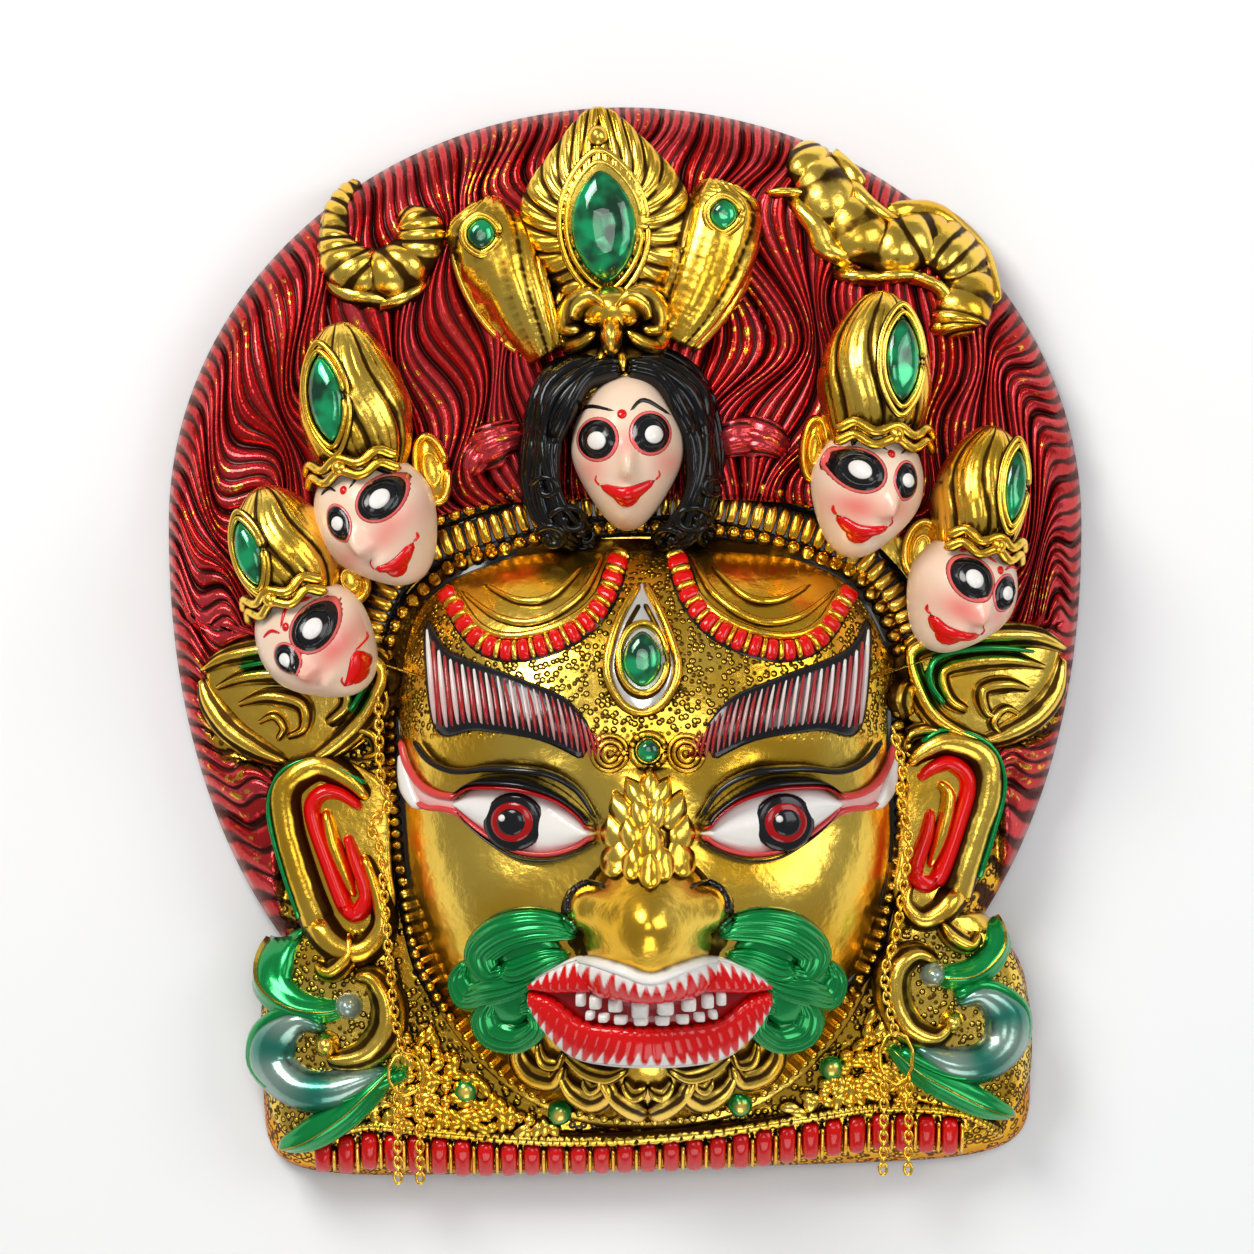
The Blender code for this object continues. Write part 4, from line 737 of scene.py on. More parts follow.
def share_from(share, angle, full):
    """The rows' shares moved out so that the first lies just under the great face's edge."""
    low, high = np.full_like(angle, 40.0), full * 0.97
    for _ in range(16):
        middle = (low + high) / 2.0
        x, y = POLE[0] + middle * np.cos(angle), POLE[1] + middle * np.sin(angle)
        held = face_level(x, y) < np.where(y > BAND_FOOT, BAND_LEVEL - 0.12, 0.98)
        low, high = np.where(held, middle, low), np.where(held, high, middle)
    first = low / full
    return first + (share - HALO_FROM) / (1.0 - HALO_FROM) * (1.0 - first)


def halo_shell(work, sizes, colours):
    """The halo and collar as one closed ring of rows that follow the flow of the hair."""
    hair = LOCKS * STRANDS_PER_LOCK * STRAND_POINTS
    roots = np.concatenate([
        np.linspace(LOCK_FROM, LOCK_TO, hair, endpoint=False),
        np.linspace(LOCK_TO, LOCK_FROM + 2.0 * math.pi, COLLAR_POINTS, endpoint=False),
    ])
    rows = [(s, 0) for s in np.linspace(HALO_FROM, 1.0, HALO_ROWS)] + [(1.0, 1), (1.0, 2)]
    rows += [(s, 3) for s in BACK_SHARES] + [(HALO_FROM, 0)]
    rng = np.random.default_rng(SEED)
    strands = LOCKS * STRANDS_PER_LOCK
    tone, swell = rng.uniform(0.0, 1.0, strands + 1), rng.uniform(0.6, 1.35, strands + 1)

    def place(u, v):
        spoke = np.round((u + 1.0) / 2.0 * len(roots)).astype(int) % len(roots)
        row = np.round((v + 1.0) / 2.0 * (len(rows) - 1)).astype(int)
        share, kind = np.array([r[0] for r in rows])[row], np.array([r[1] for r in rows])[row]
        root = roots[spoke]
        edge = np.minimum(root - LOCK_FROM, LOCK_TO - root)
        swirl = 0.06 * np.sin(share * 21.0 + root * 5.0) * np.sin(root * 9.0) * smooth_step(1.0, 0.85, share)
        angle = np.where(spoke < hair, lock_flow(share, root) + swirl, root)
        full = edge_radius(angle)
        share = share_from(share, angle, full)
        is_hair = (spoke < hair) & (angle > NOTCHES[0]) & (angle < NOTCHES[1])
        inside = (1.0 - share) * full + (kind == 2) * HEM_WIDTH
        reach = full - inside
        x, y = POLE[0] + reach * np.cos(angle), POLE[1] + reach * np.sin(angle)
        lock = np.abs(np.cos(spoke * math.pi / (STRANDS_PER_LOCK * STRAND_POINTS))) ** 0.8
        strand = np.minimum(spoke // STRAND_POINTS, strands)
        across = (spoke % STRAND_POINTS) / STRAND_POINTS
        crest = np.sin(across * math.pi) ** 0.7
        fade = smooth_step(0.0, 3.0, inside) * is_hair * smooth_step(0.0, 0.05, edge) * (1.0 - side_cover(x, y))
        z = base_form(x, y) + fade * (LOCK_RISE * lock + sizes.strand / MM * crest * swell[strand])
        z = np.where(kind == 3, z - WALL - 4.0, z)
        z = np.where((kind == 1) | (kind == 2), 0.0, z)
        # Groove between strands and locks, near the rim, on the hem and on the back: painted shade.
        groove = np.where(is_hair, (1.0 - crest) ** 0.8 * 0.85 + 0.25 * (1.0 - lock) + 0.22 * smooth_step(9.0, 1.0, inside), 0.25)
        groove = np.where(kind > 0, 0.8, groove)
        return x, y, z, groove, np.where(is_hair, tone[strand], 0.0)

    work.using(colours.hair_red, colours.hair_crimson)
    work.sheet(len(roots), len(rows) - 1, place)
    made = list(work.shape.verts)
    co = np.array([v.co for v in made])
    turn = np.arctan2(co[:, 1] - POLE[1], co[:, 0] - POLE[0])
    golden = np.maximum((turn > NOTCHES[1] - 2.0 * math.pi) & (turn < NOTCHES[0]), side_cover(co[:, 0], co[:, 1]))
    for v, gold in zip(made, golden.tolist()):
        v[work.paint] = (*v[work.paint][:3], float(gold))


FACE_SPOKES = 520
FACE_ROWS = 118


def face_rim(angle):
    """How far the great face's piece reaches from its middle in each direction."""
    near, far = np.full_like(angle, 10.0), np.full_like(angle, 200.0)
    for _ in range(30):
        middle = (near + far) / 2.0
        x, y = FACE_X + middle * np.cos(angle), FACE_Y + middle * np.sin(angle)
        held = face_level(x, y) < np.where(y > BAND_FOOT, BAND_LEVEL + 0.06, BORDER_LEVEL + 0.05)
        near, far = np.where(held, middle, near), np.where(held, far, middle)
    return near


def face_shell(work):
    """The great face as a bowl with a front and a back, met at its rim."""
    rows = FACE_ROWS + 8

    def place(u, v):
        angle = u * math.pi
        row = np.round((v + 1.0) / 2.0 * rows)
        share = np.where(row <= FACE_ROWS, row / FACE_ROWS, (rows - row) / (rows - FACE_ROWS))
        reach = face_rim(angle) * share
        x, y = FACE_X + reach * np.cos(angle), FACE_Y + reach * np.sin(angle)
        z = FRONT(x, y) - 5.0 * smooth_step(0.97, 1.0, share)
        z = np.where(row > FACE_ROWS, z - 3.0 * np.clip((1.0 - share) * 8.0, 0.0, 1.0), z)
        # The groove value grows where the face lies below its neighbours and on the bowl's back: painted shade in the
        # hollows, and a darker back.
        cavity = sum(FRONT(x + a, y + b) for a, b in ((2.0, 0.0), (-2.0, 0.0), (0.0, 2.0), (0.0, -2.0))) / 4.0
        groove = np.clip((cavity - FRONT(x, y)) * 2.0, 0.0, 0.8) + np.where(row > FACE_ROWS, 0.5, 0.0)
        line = traced(GARLANDS)
        out = FACE_X - line[::-1, 0]
        under = np.interp(np.abs(x - FACE_X), out, line[::-1, 1]) - y
        stippled = smooth_step(0.99, 0.93, face_level(x, y)) * smooth_step(-40.0, -34.0, y) * smooth_step(0.0, 2.0, under)
        return x, y, z, groove, stippled

    work.using((0.0, 0.0, 0.0), (1.0, 1.0, 1.0))
    work.sheet(FACE_SPOKES, rows, place)
    for v in work.shape.verts:
        v[work.paint] = (1.0, 1.0, 1.0, v[work.paint][0])


# Paths traced from the photograph, as pixels of it: x, y and half width

LOWER_ROW = ((390, 656), (392, 643), (401, 619), (419, 595), (445, 574), (491, 555), (544, 538), (620, 528),
             (712, 531), (785, 546), (845, 571), (870, 600), (886, 628), (895, 651))
UPPER_ROW = ((425, 524), (457, 514), (533, 489), (600, 476), (650, 474), (720, 481), (785, 495), (822, 508))
BAR_ROW = ((368, 640), (380, 602), (402, 568), (440, 545), (500, 526), (560, 508), (620, 502), (700, 505), (760, 517),
           (812, 533), (854, 553), (886, 584), (906, 618), (914, 640))
SIDE_ROWS = (((392, 700), (398, 805), (405, 890), (420, 963), (451, 1016)),
             ((893, 700), (893, 741), (897, 843), (886, 904), (870, 961), (842, 996)))
GARLANDS = ((450, 596), (483, 641), (524, 650), (575, 632), (604, 601), (620, 556))
BROW_UPPER = ((430, 618), (452, 652), (517, 678), (566, 699), (594, 730))
BROW_LOWER = ((426, 628), (438, 726), (480, 726), (541, 735), (588, 757))
LID_UPPER = ((463, 797), (480, 783), (505, 779), (531, 781), (560, 793), (583, 812), (597, 830))
LID_LOWER = ((463, 797), (478, 818), (498, 836), (522, 849), (552, 851), (580, 842), (597, 830))
CREASE = ((420, 738, 1), (436, 758, 2.5), (462, 768, 3), (500, 763, 3), (545, 766, 3), (578, 784, 3), (600, 816, 2))
TEARDROP = ((404, 752, 1), (408, 772, 5), (413, 790, 6.5), (424, 808, 4))
CORNER_LINE = ((404, 738, 2), (411, 762, 3), (424, 782, 3.5), (442, 792, 3.5), (463, 794, 3.5))
CORNER_FOOT = ((414, 796, 1.5), (430, 805, 3), (446, 806, 3.5), (461, 810, 3.5), (474, 822, 2.5))
CORNER_FILL = ((410, 768, 3), (424, 792, 8), (444, 801, 9), (466, 806, 9))
MOUSTACHE = (
    ((580, 930, 5), (562, 922, 14), (534, 920, 19), (506, 928, 21), (488, 946, 19), (496, 966, 13), (512, 962, 6)),
    ((572, 948, 4), (548, 952, 13), (522, 962, 15), (504, 958, 8)),
    ((548, 966, 5), (522, 978, 12), (496, 984, 16), (474, 990, 15), (464, 972, 10), (470, 956, 4)),
    ((500, 988, 5), (490, 1006, 14), (498, 1026, 16), (522, 1032, 14), (542, 1018, 11), (536, 1000, 8), (522, 1004, 5)),
)
BEARD_CURLS = (
    ((533, 1025, 3), (520, 1046, 9), (532, 1068, 12), (556, 1074, 11), (566, 1058, 6)),
    ((560, 1062, 4), (572, 1084, 9), (594, 1096, 11), (612, 1086, 9), (608, 1072, 4)),
    ((600, 1066, 4), (616, 1090, 9), (636, 1104, 11), (648, 1108, 5)),
    ((566, 1046, 3), (588, 1062, 7), (612, 1068, 7), (630, 1060, 4)),
    ((540, 1034, 3), (546, 1052, 6), (560, 1056, 5), (566, 1044, 3)),
    ((584, 1070, 3), (594, 1080, 6), (604, 1076, 5), (602, 1064, 3)),
    ((624, 1072, 3), (634, 1084, 6), (648, 1080, 5)),
)
UPPER_LIP = ((529, 977), (556, 961), (586, 951), (622, 957), (650, 966), (678, 957), (708, 951), (742, 961), (770, 977))
LIP_PARTING = ((529, 977), (556, 984), (584, 984), (620, 984), (650, 986), (680, 984), (716, 984), (744, 984),
               (770, 977))
LIP_FOOT = ((531, 984), (548, 1018), (576, 1044), (612, 1053), (650, 1055), (688, 1053), (724, 1044), (752, 1018),
            (768, 984))
LOWER_TOP = ((533, 980), (558, 990), (586, 1011), (620, 1016), (650, 1017), (680, 1016), (714, 1011), (742, 990),
             (766, 980))
UPPER_TEETH = ((584, 2.0), (598, 2.5), (617, 3.1), (640, 3.8), (664, 3.7), (686, 3.1), (704, 2.5), (717, 1.9))
LOWER_TEETH = ((593, 1.9), (606, 2.3), (622, 2.9), (641, 3.2), (661, 3.2), (680, 2.8), (696, 2.3), (709, 1.8))
DROP_EDGE = ((642, 583), (618, 625), (607, 668), (620, 700), (642, 711), (664, 700), (677, 668), (664, 625),
             (642, 583))
PLATE_CURVES = (((461, 590, 2), (500, 618, 4), (540, 622, 4), (582, 596, 4), (606, 552, 2)),
                ((485, 585, 2), (520, 602, 3.5), (552, 598, 3.5), (586, 566, 2)))
PETAL_PLACES = (
    (649, 782, 3.4, 6.0, 0.0), (636, 790, 3.6, 6.4, 0.5), (623, 806, 3.8, 7.0, 0.35), (640, 808, 3.4, 6.6, 0.15),
    (616, 828, 4.0, 7.0, 0.1), (632, 828, 3.6, 6.4, 0.0), (618, 852, 4.2, 7.0, -0.4), (636, 856, 3.8, 6.4, -0.2),
    (649, 836, 4.6, 7.6, 0.0), (649, 862, 4.4, 6.8, 0.0))
EAR_LEFT = {
    "helix": ((372, 800, 6), (350, 778, 11), (318, 765, 14), (288, 786, 15), (289, 822, 14), (300, 862, 14),
              (316, 905, 14), (333, 940, 15), (362, 950, 14), (384, 927, 12), (380, 892, 9), (364, 850, 6)),
    "green": ((372, 786, 3), (340, 766, 4), (312, 758, 4), (282, 775, 4), (274, 812, 4), (290, 870, 4), (310, 922, 4)),
    "red": ((365, 809, 4), (342, 793, 6), (323, 793, 7), (314, 812, 7), (331, 864, 7), (348, 906, 7), (360, 913, 7),
            (369, 893, 7), (356, 856, 6), (348, 832, 4)),
    "core": ((327, 805, 6), (335, 840, 10), (348, 874, 8), (358, 898, 4)),
}
EAR_RIGHT = {
    "helix": ((905, 765, 6), (922, 750, 10), (946, 741, 13), (980, 755, 14), (984, 790, 14), (972, 830, 13),
              (958, 872, 13), (944, 906, 13), (920, 918, 11), (903, 902, 8), (908, 880, 5)),
    "green": ((915, 744, 3), (944, 729, 4), (985, 744, 4), (998, 780, 4), (986, 830, 4), (968, 882, 4)),
    "red": ((915, 780, 4), (932, 767, 6), (950, 763, 7), (966, 782, 7), (956, 822, 7), (937, 873, 7), (923, 884, 7),
            (913, 869, 7), (925, 832, 6), (929, 806, 4)),
    "core": ((935, 780, 5), (946, 795, 9), (938, 835, 9), (925, 870, 4)),
}
CREST_LEFT = (((203, 672, 3), (235, 655, 9), (290, 648, 12), (350, 650, 13), (385, 670, 12), (374, 704, 12),
               (352, 732, 11), (318, 758, 8), (290, 766, 3)),
              ((215, 690, 2), (250, 676, 8), (296, 674, 10), (340, 680, 10), (350, 704, 9), (326, 726, 6)),
              ((236, 706, 2), (270, 696, 8), (304, 704, 9), (306, 728, 6), (286, 738, 3)),
              ((204, 676, 3), (214, 702, 9), (234, 730, 11), (262, 750, 10), (292, 764, 5)),
              ((330, 744, 3), (350, 730, 7), (374, 734, 7), (378, 752, 5), (362, 758, 3)),
              ((362, 690, 3), (380, 684, 6), (390, 700, 6), (384, 720, 4)),
              ((258, 724, 2), (276, 716, 5), (286, 728, 5), (278, 742, 3)))
CREST_RIGHT = (((1062, 650, 3), (1030, 636, 10), (990, 636, 12), (940, 640, 12), (908, 654, 11), (916, 690, 11),
                (934, 718, 10), (966, 736, 8), (992, 740, 3)),
               ((1046, 668, 2), (1010, 660, 8), (968, 662, 10), (940, 672, 9), (946, 698, 8), (968, 712, 5)),
               ((1030, 690, 2), (1004, 684, 8), (980, 690, 8), (984, 712, 6), (1000, 718, 3)),
               ((1060, 654, 3), (1050, 690, 9), (1030, 716, 11), (1002, 734, 10), (972, 744, 5)),
               ((950, 744, 3), (932, 730, 7), (908, 734, 7), (904, 752, 5), (918, 758, 3)),
               ((918, 690, 3), (902, 684, 6), (894, 700, 6), (900, 720, 4)),
               ((1020, 716, 2), (1002, 708, 5), (990, 722, 5), (1000, 736, 3)))
CREST_GREEN = (((236, 668, 2), (290, 660, 4), (345, 664, 4), (366, 684, 4), (350, 716, 3)),
               ((1036, 652, 2), (990, 648, 4), (938, 656, 4), (926, 680, 4), (944, 708, 3)))
SHOULDERS = {
    "green": (((309, 926, 3), (285, 955, 13), (279, 985, 16), (300, 1006, 15), (328, 1010, 12), (350, 1005, 6)),
              ((987, 922, 3), (990, 950, 11), (972, 972, 14), (948, 976, 12), (931, 973, 5)),
              ((281, 1145, 4), (312, 1132, 13), (345, 1112, 15), (374, 1086, 13), (398, 1062, 4)),
              ((886, 1043, 4), (915, 1068, 12), (948, 1086, 14), (982, 1102, 12), (1012, 1114, 4))),
    "teal": (((329, 1030, 6), (304, 1020, 12), (283, 1036, 16), (279, 1064, 17), (300, 1086, 18), (330, 1090, 18),
              (362, 1080, 14), (392, 1066, 5)),
             ((953, 1004, 5), (978, 994, 12), (1000, 1012, 16), (1000, 1042, 17), (980, 1062, 17), (948, 1062, 15),
              (908, 1042, 5))),
    "gold": (((352, 976, 5), (374, 976, 11), (388, 998, 14), (388, 1026, 15), (370, 1050, 14), (344, 1058, 10),
              (326, 1056, 6)),
             ((939, 962, 5), (914, 952, 11), (893, 968, 15), (893, 1000, 15), (908, 1026, 14), (934, 1036, 10),
              (954, 1020, 6)),
             ((350, 930, 4), (352, 952, 9), (334, 970, 10), (316, 962, 6)),
             ((936, 916, 4), (948, 934, 9), (966, 944, 8), (974, 930, 4))),
    "balls": ((350, 1005, 15), (329, 1043, 14), (931, 973, 14), (950, 1020, 13)),
}
ROPE = ((290, 1150), (360, 1126), (431, 1131), (521, 1138), (597, 1139), (712, 1131), (824, 1114), (881, 1107),
        (960, 1112), (1004, 1134))
LEFT_SERPENT = ((358, 178, 3), (343, 205, 11), (336, 240, 17), (352, 268, 24), (386, 275, 27), (416, 254, 25),
                (421, 226, 19), (404, 214, 9))
RIGHT_SERPENT = ((800, 143, 24), (814, 179, 24), (849, 227, 28), (888, 250, 27), (924, 243, 27), (953, 259, 26),
                 (966, 287, 25), (957, 323, 26), (962, 339, 12))
SERPENT_RIBS = (
    ((830, 156, 4), (849, 183, 7), (865, 211, 8), (888, 220, 8), (922, 216, 8), (952, 232, 8), (978, 264, 8),
     (991, 310, 5)),
    ((768, 195, 3), (796, 197, 7), (817, 227, 8), (828, 254, 8), (865, 280, 8), (906, 277, 8), (934, 289, 7),
     (940, 310, 7), (931, 334, 4)),
)
CRESCENT = ((326, 252, 3), (334, 278, 8), (351, 294, 10), (384, 303, 11), (412, 294, 9), (433, 268, 3))
CHAINS = {
    "left": ((380, 700), (382, 772), (390, 803), (372, 826), (382, 846), (386, 900), (391, 960), (396, 1016),
             (404, 1050)),
    "right": ((891, 731), (900, 769), (898, 794), (907, 839), (902, 884), (894, 935), (883, 975), (893, 1028)),
}
RINGS = {"left": ((407, 1072), 18, 21, (398, 420), 1178), "right": ((895, 1056), 17, 26, (883, 908), 1169)}


def both_sides(path):
    """A traced path and the same on the other side of the face."""
    made = traced(path)
    return made, across_face(made)


# The carvers' second value raises the groove in the cuts they make: painted shade in the cuts.
def ribbed(count, depth=0.25):
    """Long grooves round a roll."""
    def carve(angle, along, v):
        wave = (0.5 + 0.5 * np.cos(angle * count * 2.0)) ** 0.45
        return 1.0 - depth * (1.0 - wave), (1.0 - wave) * 0.75
    return carve


def ringed(pitch, depth=0.3, slant=0.0):
    """Grooves across a roll at a pitch, slanted like a rope's strands if asked."""
    def carve(angle, along, v):
        wave = np.abs(np.sin((along / pitch + slant * angle / math.pi) * math.pi)) ** 0.6
        return 1.0 - depth * (1.0 - wave), (1.0 - wave) * 0.9
    return carve


def striped(pitch, depth=0.9):
    """Grooves across a pillow, along its length."""
    def carve(x, y, s, t):
        wave = np.abs(np.sin(x / pitch * math.pi)) ** 0.7
        return depth * (wave - 1.0), (1.0 - wave) * 1.1
    return carve


def face_ornaments(gold, paint, foil, colours):
    """Diadem, brows, eyes, moustache, mouth, beard and the settings of the great face."""
    black, white, red = colours.black, colours.white, colours.red
    paint.using(black)
    for path, width in ((LOWER_ROW, 11.0), (UPPER_ROW, 10.0), *((row, 9.0) for row in SIDE_ROWS)):
        paint.roll(np.column_stack([traced(path), np.full(len(path), width * PHOTO_PITCH)]), 1.0, sides=6)
    paint.roll(np.column_stack([traced(BAR_ROW), np.full(len(BAR_ROW), 8.4)]), 0.8, sides=10)
    for path in (LOWER_ROW, UPPER_ROW):
        gold.beads(spaced(traced(path), 6.2), 2.9, 3.4, spokes=12, rings=6, lift=1.6)
    for row in SIDE_ROWS:
        gold.beads(spaced(traced(row), 4.9), 2.2, 2.6, spokes=10, rings=5, lift=1.2)
    for x, y, turn in spaced(traced(BAR_ROW), 5.3):
        gold.dome(x, y, (2.3, 6.4), 3.0, turn, spokes=12, rings=6, square=0.5)
    for path in PLATE_CURVES:
        for side in both_sides(path):
            gold.roll(side, 2.6, sides=8)
    chin = level_curve(BORDER_LEVEL, 222.0, 318.0, 60)
    gold.beads(spaced(chin[::6], 5.0), 1.9, 2.0, spokes=8, rings=4)
    for side in both_sides(GARLANDS):
        paint.using(black)
        paint.roll(np.column_stack([side, np.full(len(side), 5.4)]), 1.0, sides=6)
        places = spaced(side, 3.4)
        paint.using(red)
        for x, y, turn in places[::2]:
            paint.dome(x, y, (2.3, 4.2), 3.0, turn, spokes=16, rings=6, square=0.45)
        for x, y, turn in places[1::2]:
            gold.dome(x, y, (1.2, 4.3), 3.2, turn, spokes=12, rings=6, square=0.6)
        shift = side + np.array([0.0, 5.6])
        gold.roll(np.column_stack([shift, np.full(len(side), 1.7)]), 2.2, sides=6)
    for upper, lower in zip(both_sides(BROW_UPPER), both_sides(BROW_LOWER)):
        paint.using(black)
        grown = np.array([0.0, 1.4])
        paint.ruled(upper + grown, lower - grown, 2.4, sides=20, along=40)
        tops, feet = (smooth_path(edge)[:, :2] for edge in (upper, lower))
        out = 1.0 if upper[0, 0] > FACE_X else -1.0
        tops, feet = ((edge - [FACE_X, 0.0]) * [out, 1.0] for edge in (tops[::-1], feet[::-1]))
        for number, away in enumerate(np.arange(17.0, 84.0, 2.3)):
            top, foot = np.interp(away + 2.4, tops[:, 0], tops[:, 1]), np.interp(away - 1.4, feet[:, 0], feet[:, 1])
            paint.using(tuple(0.55 * c for c in red), white)
            pale = (np.clip((away - 18.0) / 30.0, 0.05, 1.0) if number % 2 else 0.04)
            strand = [(FACE_X + out * (away + lean), foot + (top - foot) * s, w)
                      for s, lean, w in ((0.03, -1.4, 0.3), (0.3, -0.6, 0.9), (0.65, 0.8, 0.85), (0.97, 2.4, 0.3))]
            paint.roll(strand, 4.4, sides=6, tint=lambda t, pale=pale: pale * (0.45 + 0.55 * t))
    eyes_of(paint, gold, colours)
    for path in MOUSTACHE:
        for side in both_sides(path):
            foil.using(colours.green)
            foil.roll(side, 8.0, sides=60, steps=8, carve=ribbed(7, 0.26))
    for x, y, across, up in ((530, 946, 34, 22), (504, 1000, 30, 26), (486, 972, 20, 22)):
        px, py = traced(((x, y, 1),))[0][:2]
        for side in (1.0, -1.0):
            foil.dome(FACE_X + side * (px - FACE_X), py, (across * PHOTO_PITCH, up * PHOTO_PITCH), 3.6, spokes=24, rings=8)
    for path in BEARD_CURLS:
        for side in both_sides(path):
            gold.roll(side, 6.0, sides=24, steps=6, carve=ribbed(3, 0.2))
    mouth_of(paint, gold, colours)
    for x, y, across, up, lean in PETAL_PLACES:
        px, py = traced(((x, y, 1),))[0][:2]
        for side in ((1.0,) if lean == 0 else (1.0, -1.0)):
            gold.dome(FACE_X + side * (px - FACE_X), py, (across * 1.35, up * 1.25), 5.0, side * lean, spokes=20, rings=10,
                      pointed=0.7)
    for side in (-1.0, 1.0):
        x = FACE_X + side * 15.0
        for turns, radius in ((0, 6.8), (1, 4.6), (2, 2.4)):
            ring = [(x + radius * math.cos(a), -43.5 + radius * math.sin(a), 1.3) for a in np.linspace(0, 2 * math.pi, 17)]
            gold.roll(ring, 2.4 + turns, sides=8, steps=2, lift=turns * 0.9)
    ring = [(9.2 + 6.6 * math.cos(a), -42.6 + 6.6 * math.sin(a), 1.6) for a in np.linspace(0, 2 * math.pi, 17)]
    gold.roll(ring, 4.2, sides=8, steps=2, carve=ringed(2.4))
    edge = traced(DROP_EDGE)
    foil.using((0.72, 0.72, 0.68))
    foil.ruled(edge[:5], edge[:3:-1], 2.6, sides=16, along=30)
    gold.roll(np.column_stack([edge, np.full(len(edge), 2.0)]), 4.6, sides=8)
    gold.roll(np.column_stack([(edge - [7.0, -7.0]) * 0.72 + [7.0, -7.0], np.full(len(edge), 1.3)]), 4.0, sides=8,
              lift=0.6, carve=ringed(2.2))
    ring = [(7.0 + 9.4 * math.cos(a), -7.4 + 13.0 * math.sin(a), 1.7) for a in np.linspace(0, 2 * math.pi, 21)]
    gold.roll(ring, 5.6, sides=8, steps=2)


def eyes_of(paint, gold, colours):
    """Whites, ringed irises with a painted highlight on each pupil, lids, creases and the drops at the temples."""
    black, white, red = colours.black, colours.white, colours.red
    crimson = tuple(0.93 * a + 0.07 * b for a, b in zip(red, white))
    for number, (upper, lower) in enumerate(zip(both_sides(LID_UPPER), both_sides(LID_LOWER))):
        paint.using(white)
        paint.ruled(upper, lower, 9.0, sides=30, along=40, sink=2.0, power=0.8)
        x, y = traced(((522, 817, 1) if number == 0 else (775, 818, 1),))[0][:2]
        dusk = tuple(0.5 * c for c in red)
        for ink, radius, rise, lift in ((black, 12.2, 3.2, 7.4), (dusk, 8.9, 2.6, 8.8), (black, 5.8, 2.0, 10.3)):
            paint.using(ink)
            paint.dome(x, y, (radius, radius * 0.94), rise, spokes=40, rings=10, lift=lift)
        # A small white dome on each pupil is a painted highlight.
        paint.using(white)
        paint.dome(x - 3.2, y + 2.6, (1.5, 1.5), 1.4, spokes=12, rings=6, lift=11.4)
    for path, ink, rise, lift in ((CREASE, black, 3.4, 2.0), (CORNER_LINE, crimson, 2.2, 1.0)):
        for side in both_sides(path):
            paint.using(ink)
            paint.roll(side, rise, sides=8, lift=lift)
    for side in both_sides([(x, y - 3, 1.9) for x, y in LID_UPPER]):
        paint.using(tuple(c * 0.6 for c in red))
        paint.roll(side, 9.5, sides=8, lift=1.0)
    for side in both_sides([(x, y + 1, 2.8) for x, y in LID_LOWER]):
        paint.using(crimson)
        paint.roll(side, 6.4, sides=8, lift=1.0)
    for side in both_sides([(x, y - 7, 1.2) for x, y in LID_UPPER]):
        paint.using(black)
        paint.roll(side, 8.4, sides=8, lift=1.0)
    for side in both_sides([(x, y + 7, 1.6) for x, y in LID_LOWER]):
        paint.using(black)
        paint.roll(side, 4.6, sides=8, lift=1.0)
    for side in both_sides(CORNER_FILL):
        paint.using(tuple(0.5 * a + 0.5 * b for a, b in zip(colours.blush, white)))
        paint.roll(side, 1.8, sides=12)
    for side in both_sides(CORNER_FOOT):
        paint.using(crimson)
        paint.roll(side, 2.2, sides=8, lift=1.0)
    for side in both_sides(TEARDROP):
        paint.using(white)
        paint.roll(side, 3.2, sides=12, lift=0.8)
    for side in (-1.0, 1.0):
        arc = [(FACE_X + side * (22.0 + 9.5 * math.cos(a)), -103.0 + 8.6 * math.sin(a), 0.9) for a in np.linspace(-0.4, 2.2, 9)]
        paint.using(black)
        paint.roll(arc, 2.0, sides=6)


def mouth_of(paint, gold, colours):
    """Lips with their white edge, the row of teeth and the dark between."""
    black, white, red = colours.black, colours.white, colours.red
    upper, parting, lower, foot = (traced(path) for path in (UPPER_LIP, LIP_PARTING, LOWER_TOP, LIP_FOOT))
    paint.using(tuple(0.35 * c for c in red))
    paint.ruled(parting + [0.0, 3.0], lower - [0.0, 2.0], 2.4, sides=12, along=40)
    paint.using(white, red)

    def fringe(s, t):
        edge = 0.08 + 0.34 * np.abs(np.sin(t * 27.0 * math.pi)) ** 3 + 0.05 * np.sin(t * 97.0)
        return smooth_step(edge - 0.06, edge + 0.06, s)

    def brushed(x, y, s, t):
        wave = np.abs(np.sin(t * 27.0 * math.pi + 0.8)) ** 0.4
        return 0.5 * (wave - 1.0), (1.0 - wave) * 0.8

    paint.ruled(upper, parting, 6.8, sides=28, along=300, power=0.4, tone=fringe, carve=brushed)
    paint.ruled(foot, lower, 7.4, sides=36, along=300, power=0.4, tone=fringe, carve=brushed)
    paint.using(white)
    paint.roll(np.column_stack([upper, np.full(len(upper), 1.0)]), 5.0, sides=8)
    paint.roll(np.column_stack([foot, np.full(len(foot), 1.7)]), 4.4, sides=8)
    paint.using(white)
    for level, tall, teeth in ((997, 3.1, UPPER_TEETH), (1010, 1.7, LOWER_TEETH)):
        for x, wide in teeth:
            px, py = traced(((x, level - 0.0016 * (x - 649) ** 2, 1),))[0][:2]
            paint.dome(px, py, (wide, tall), 5.2, spokes=16, rings=8, square=0.38)


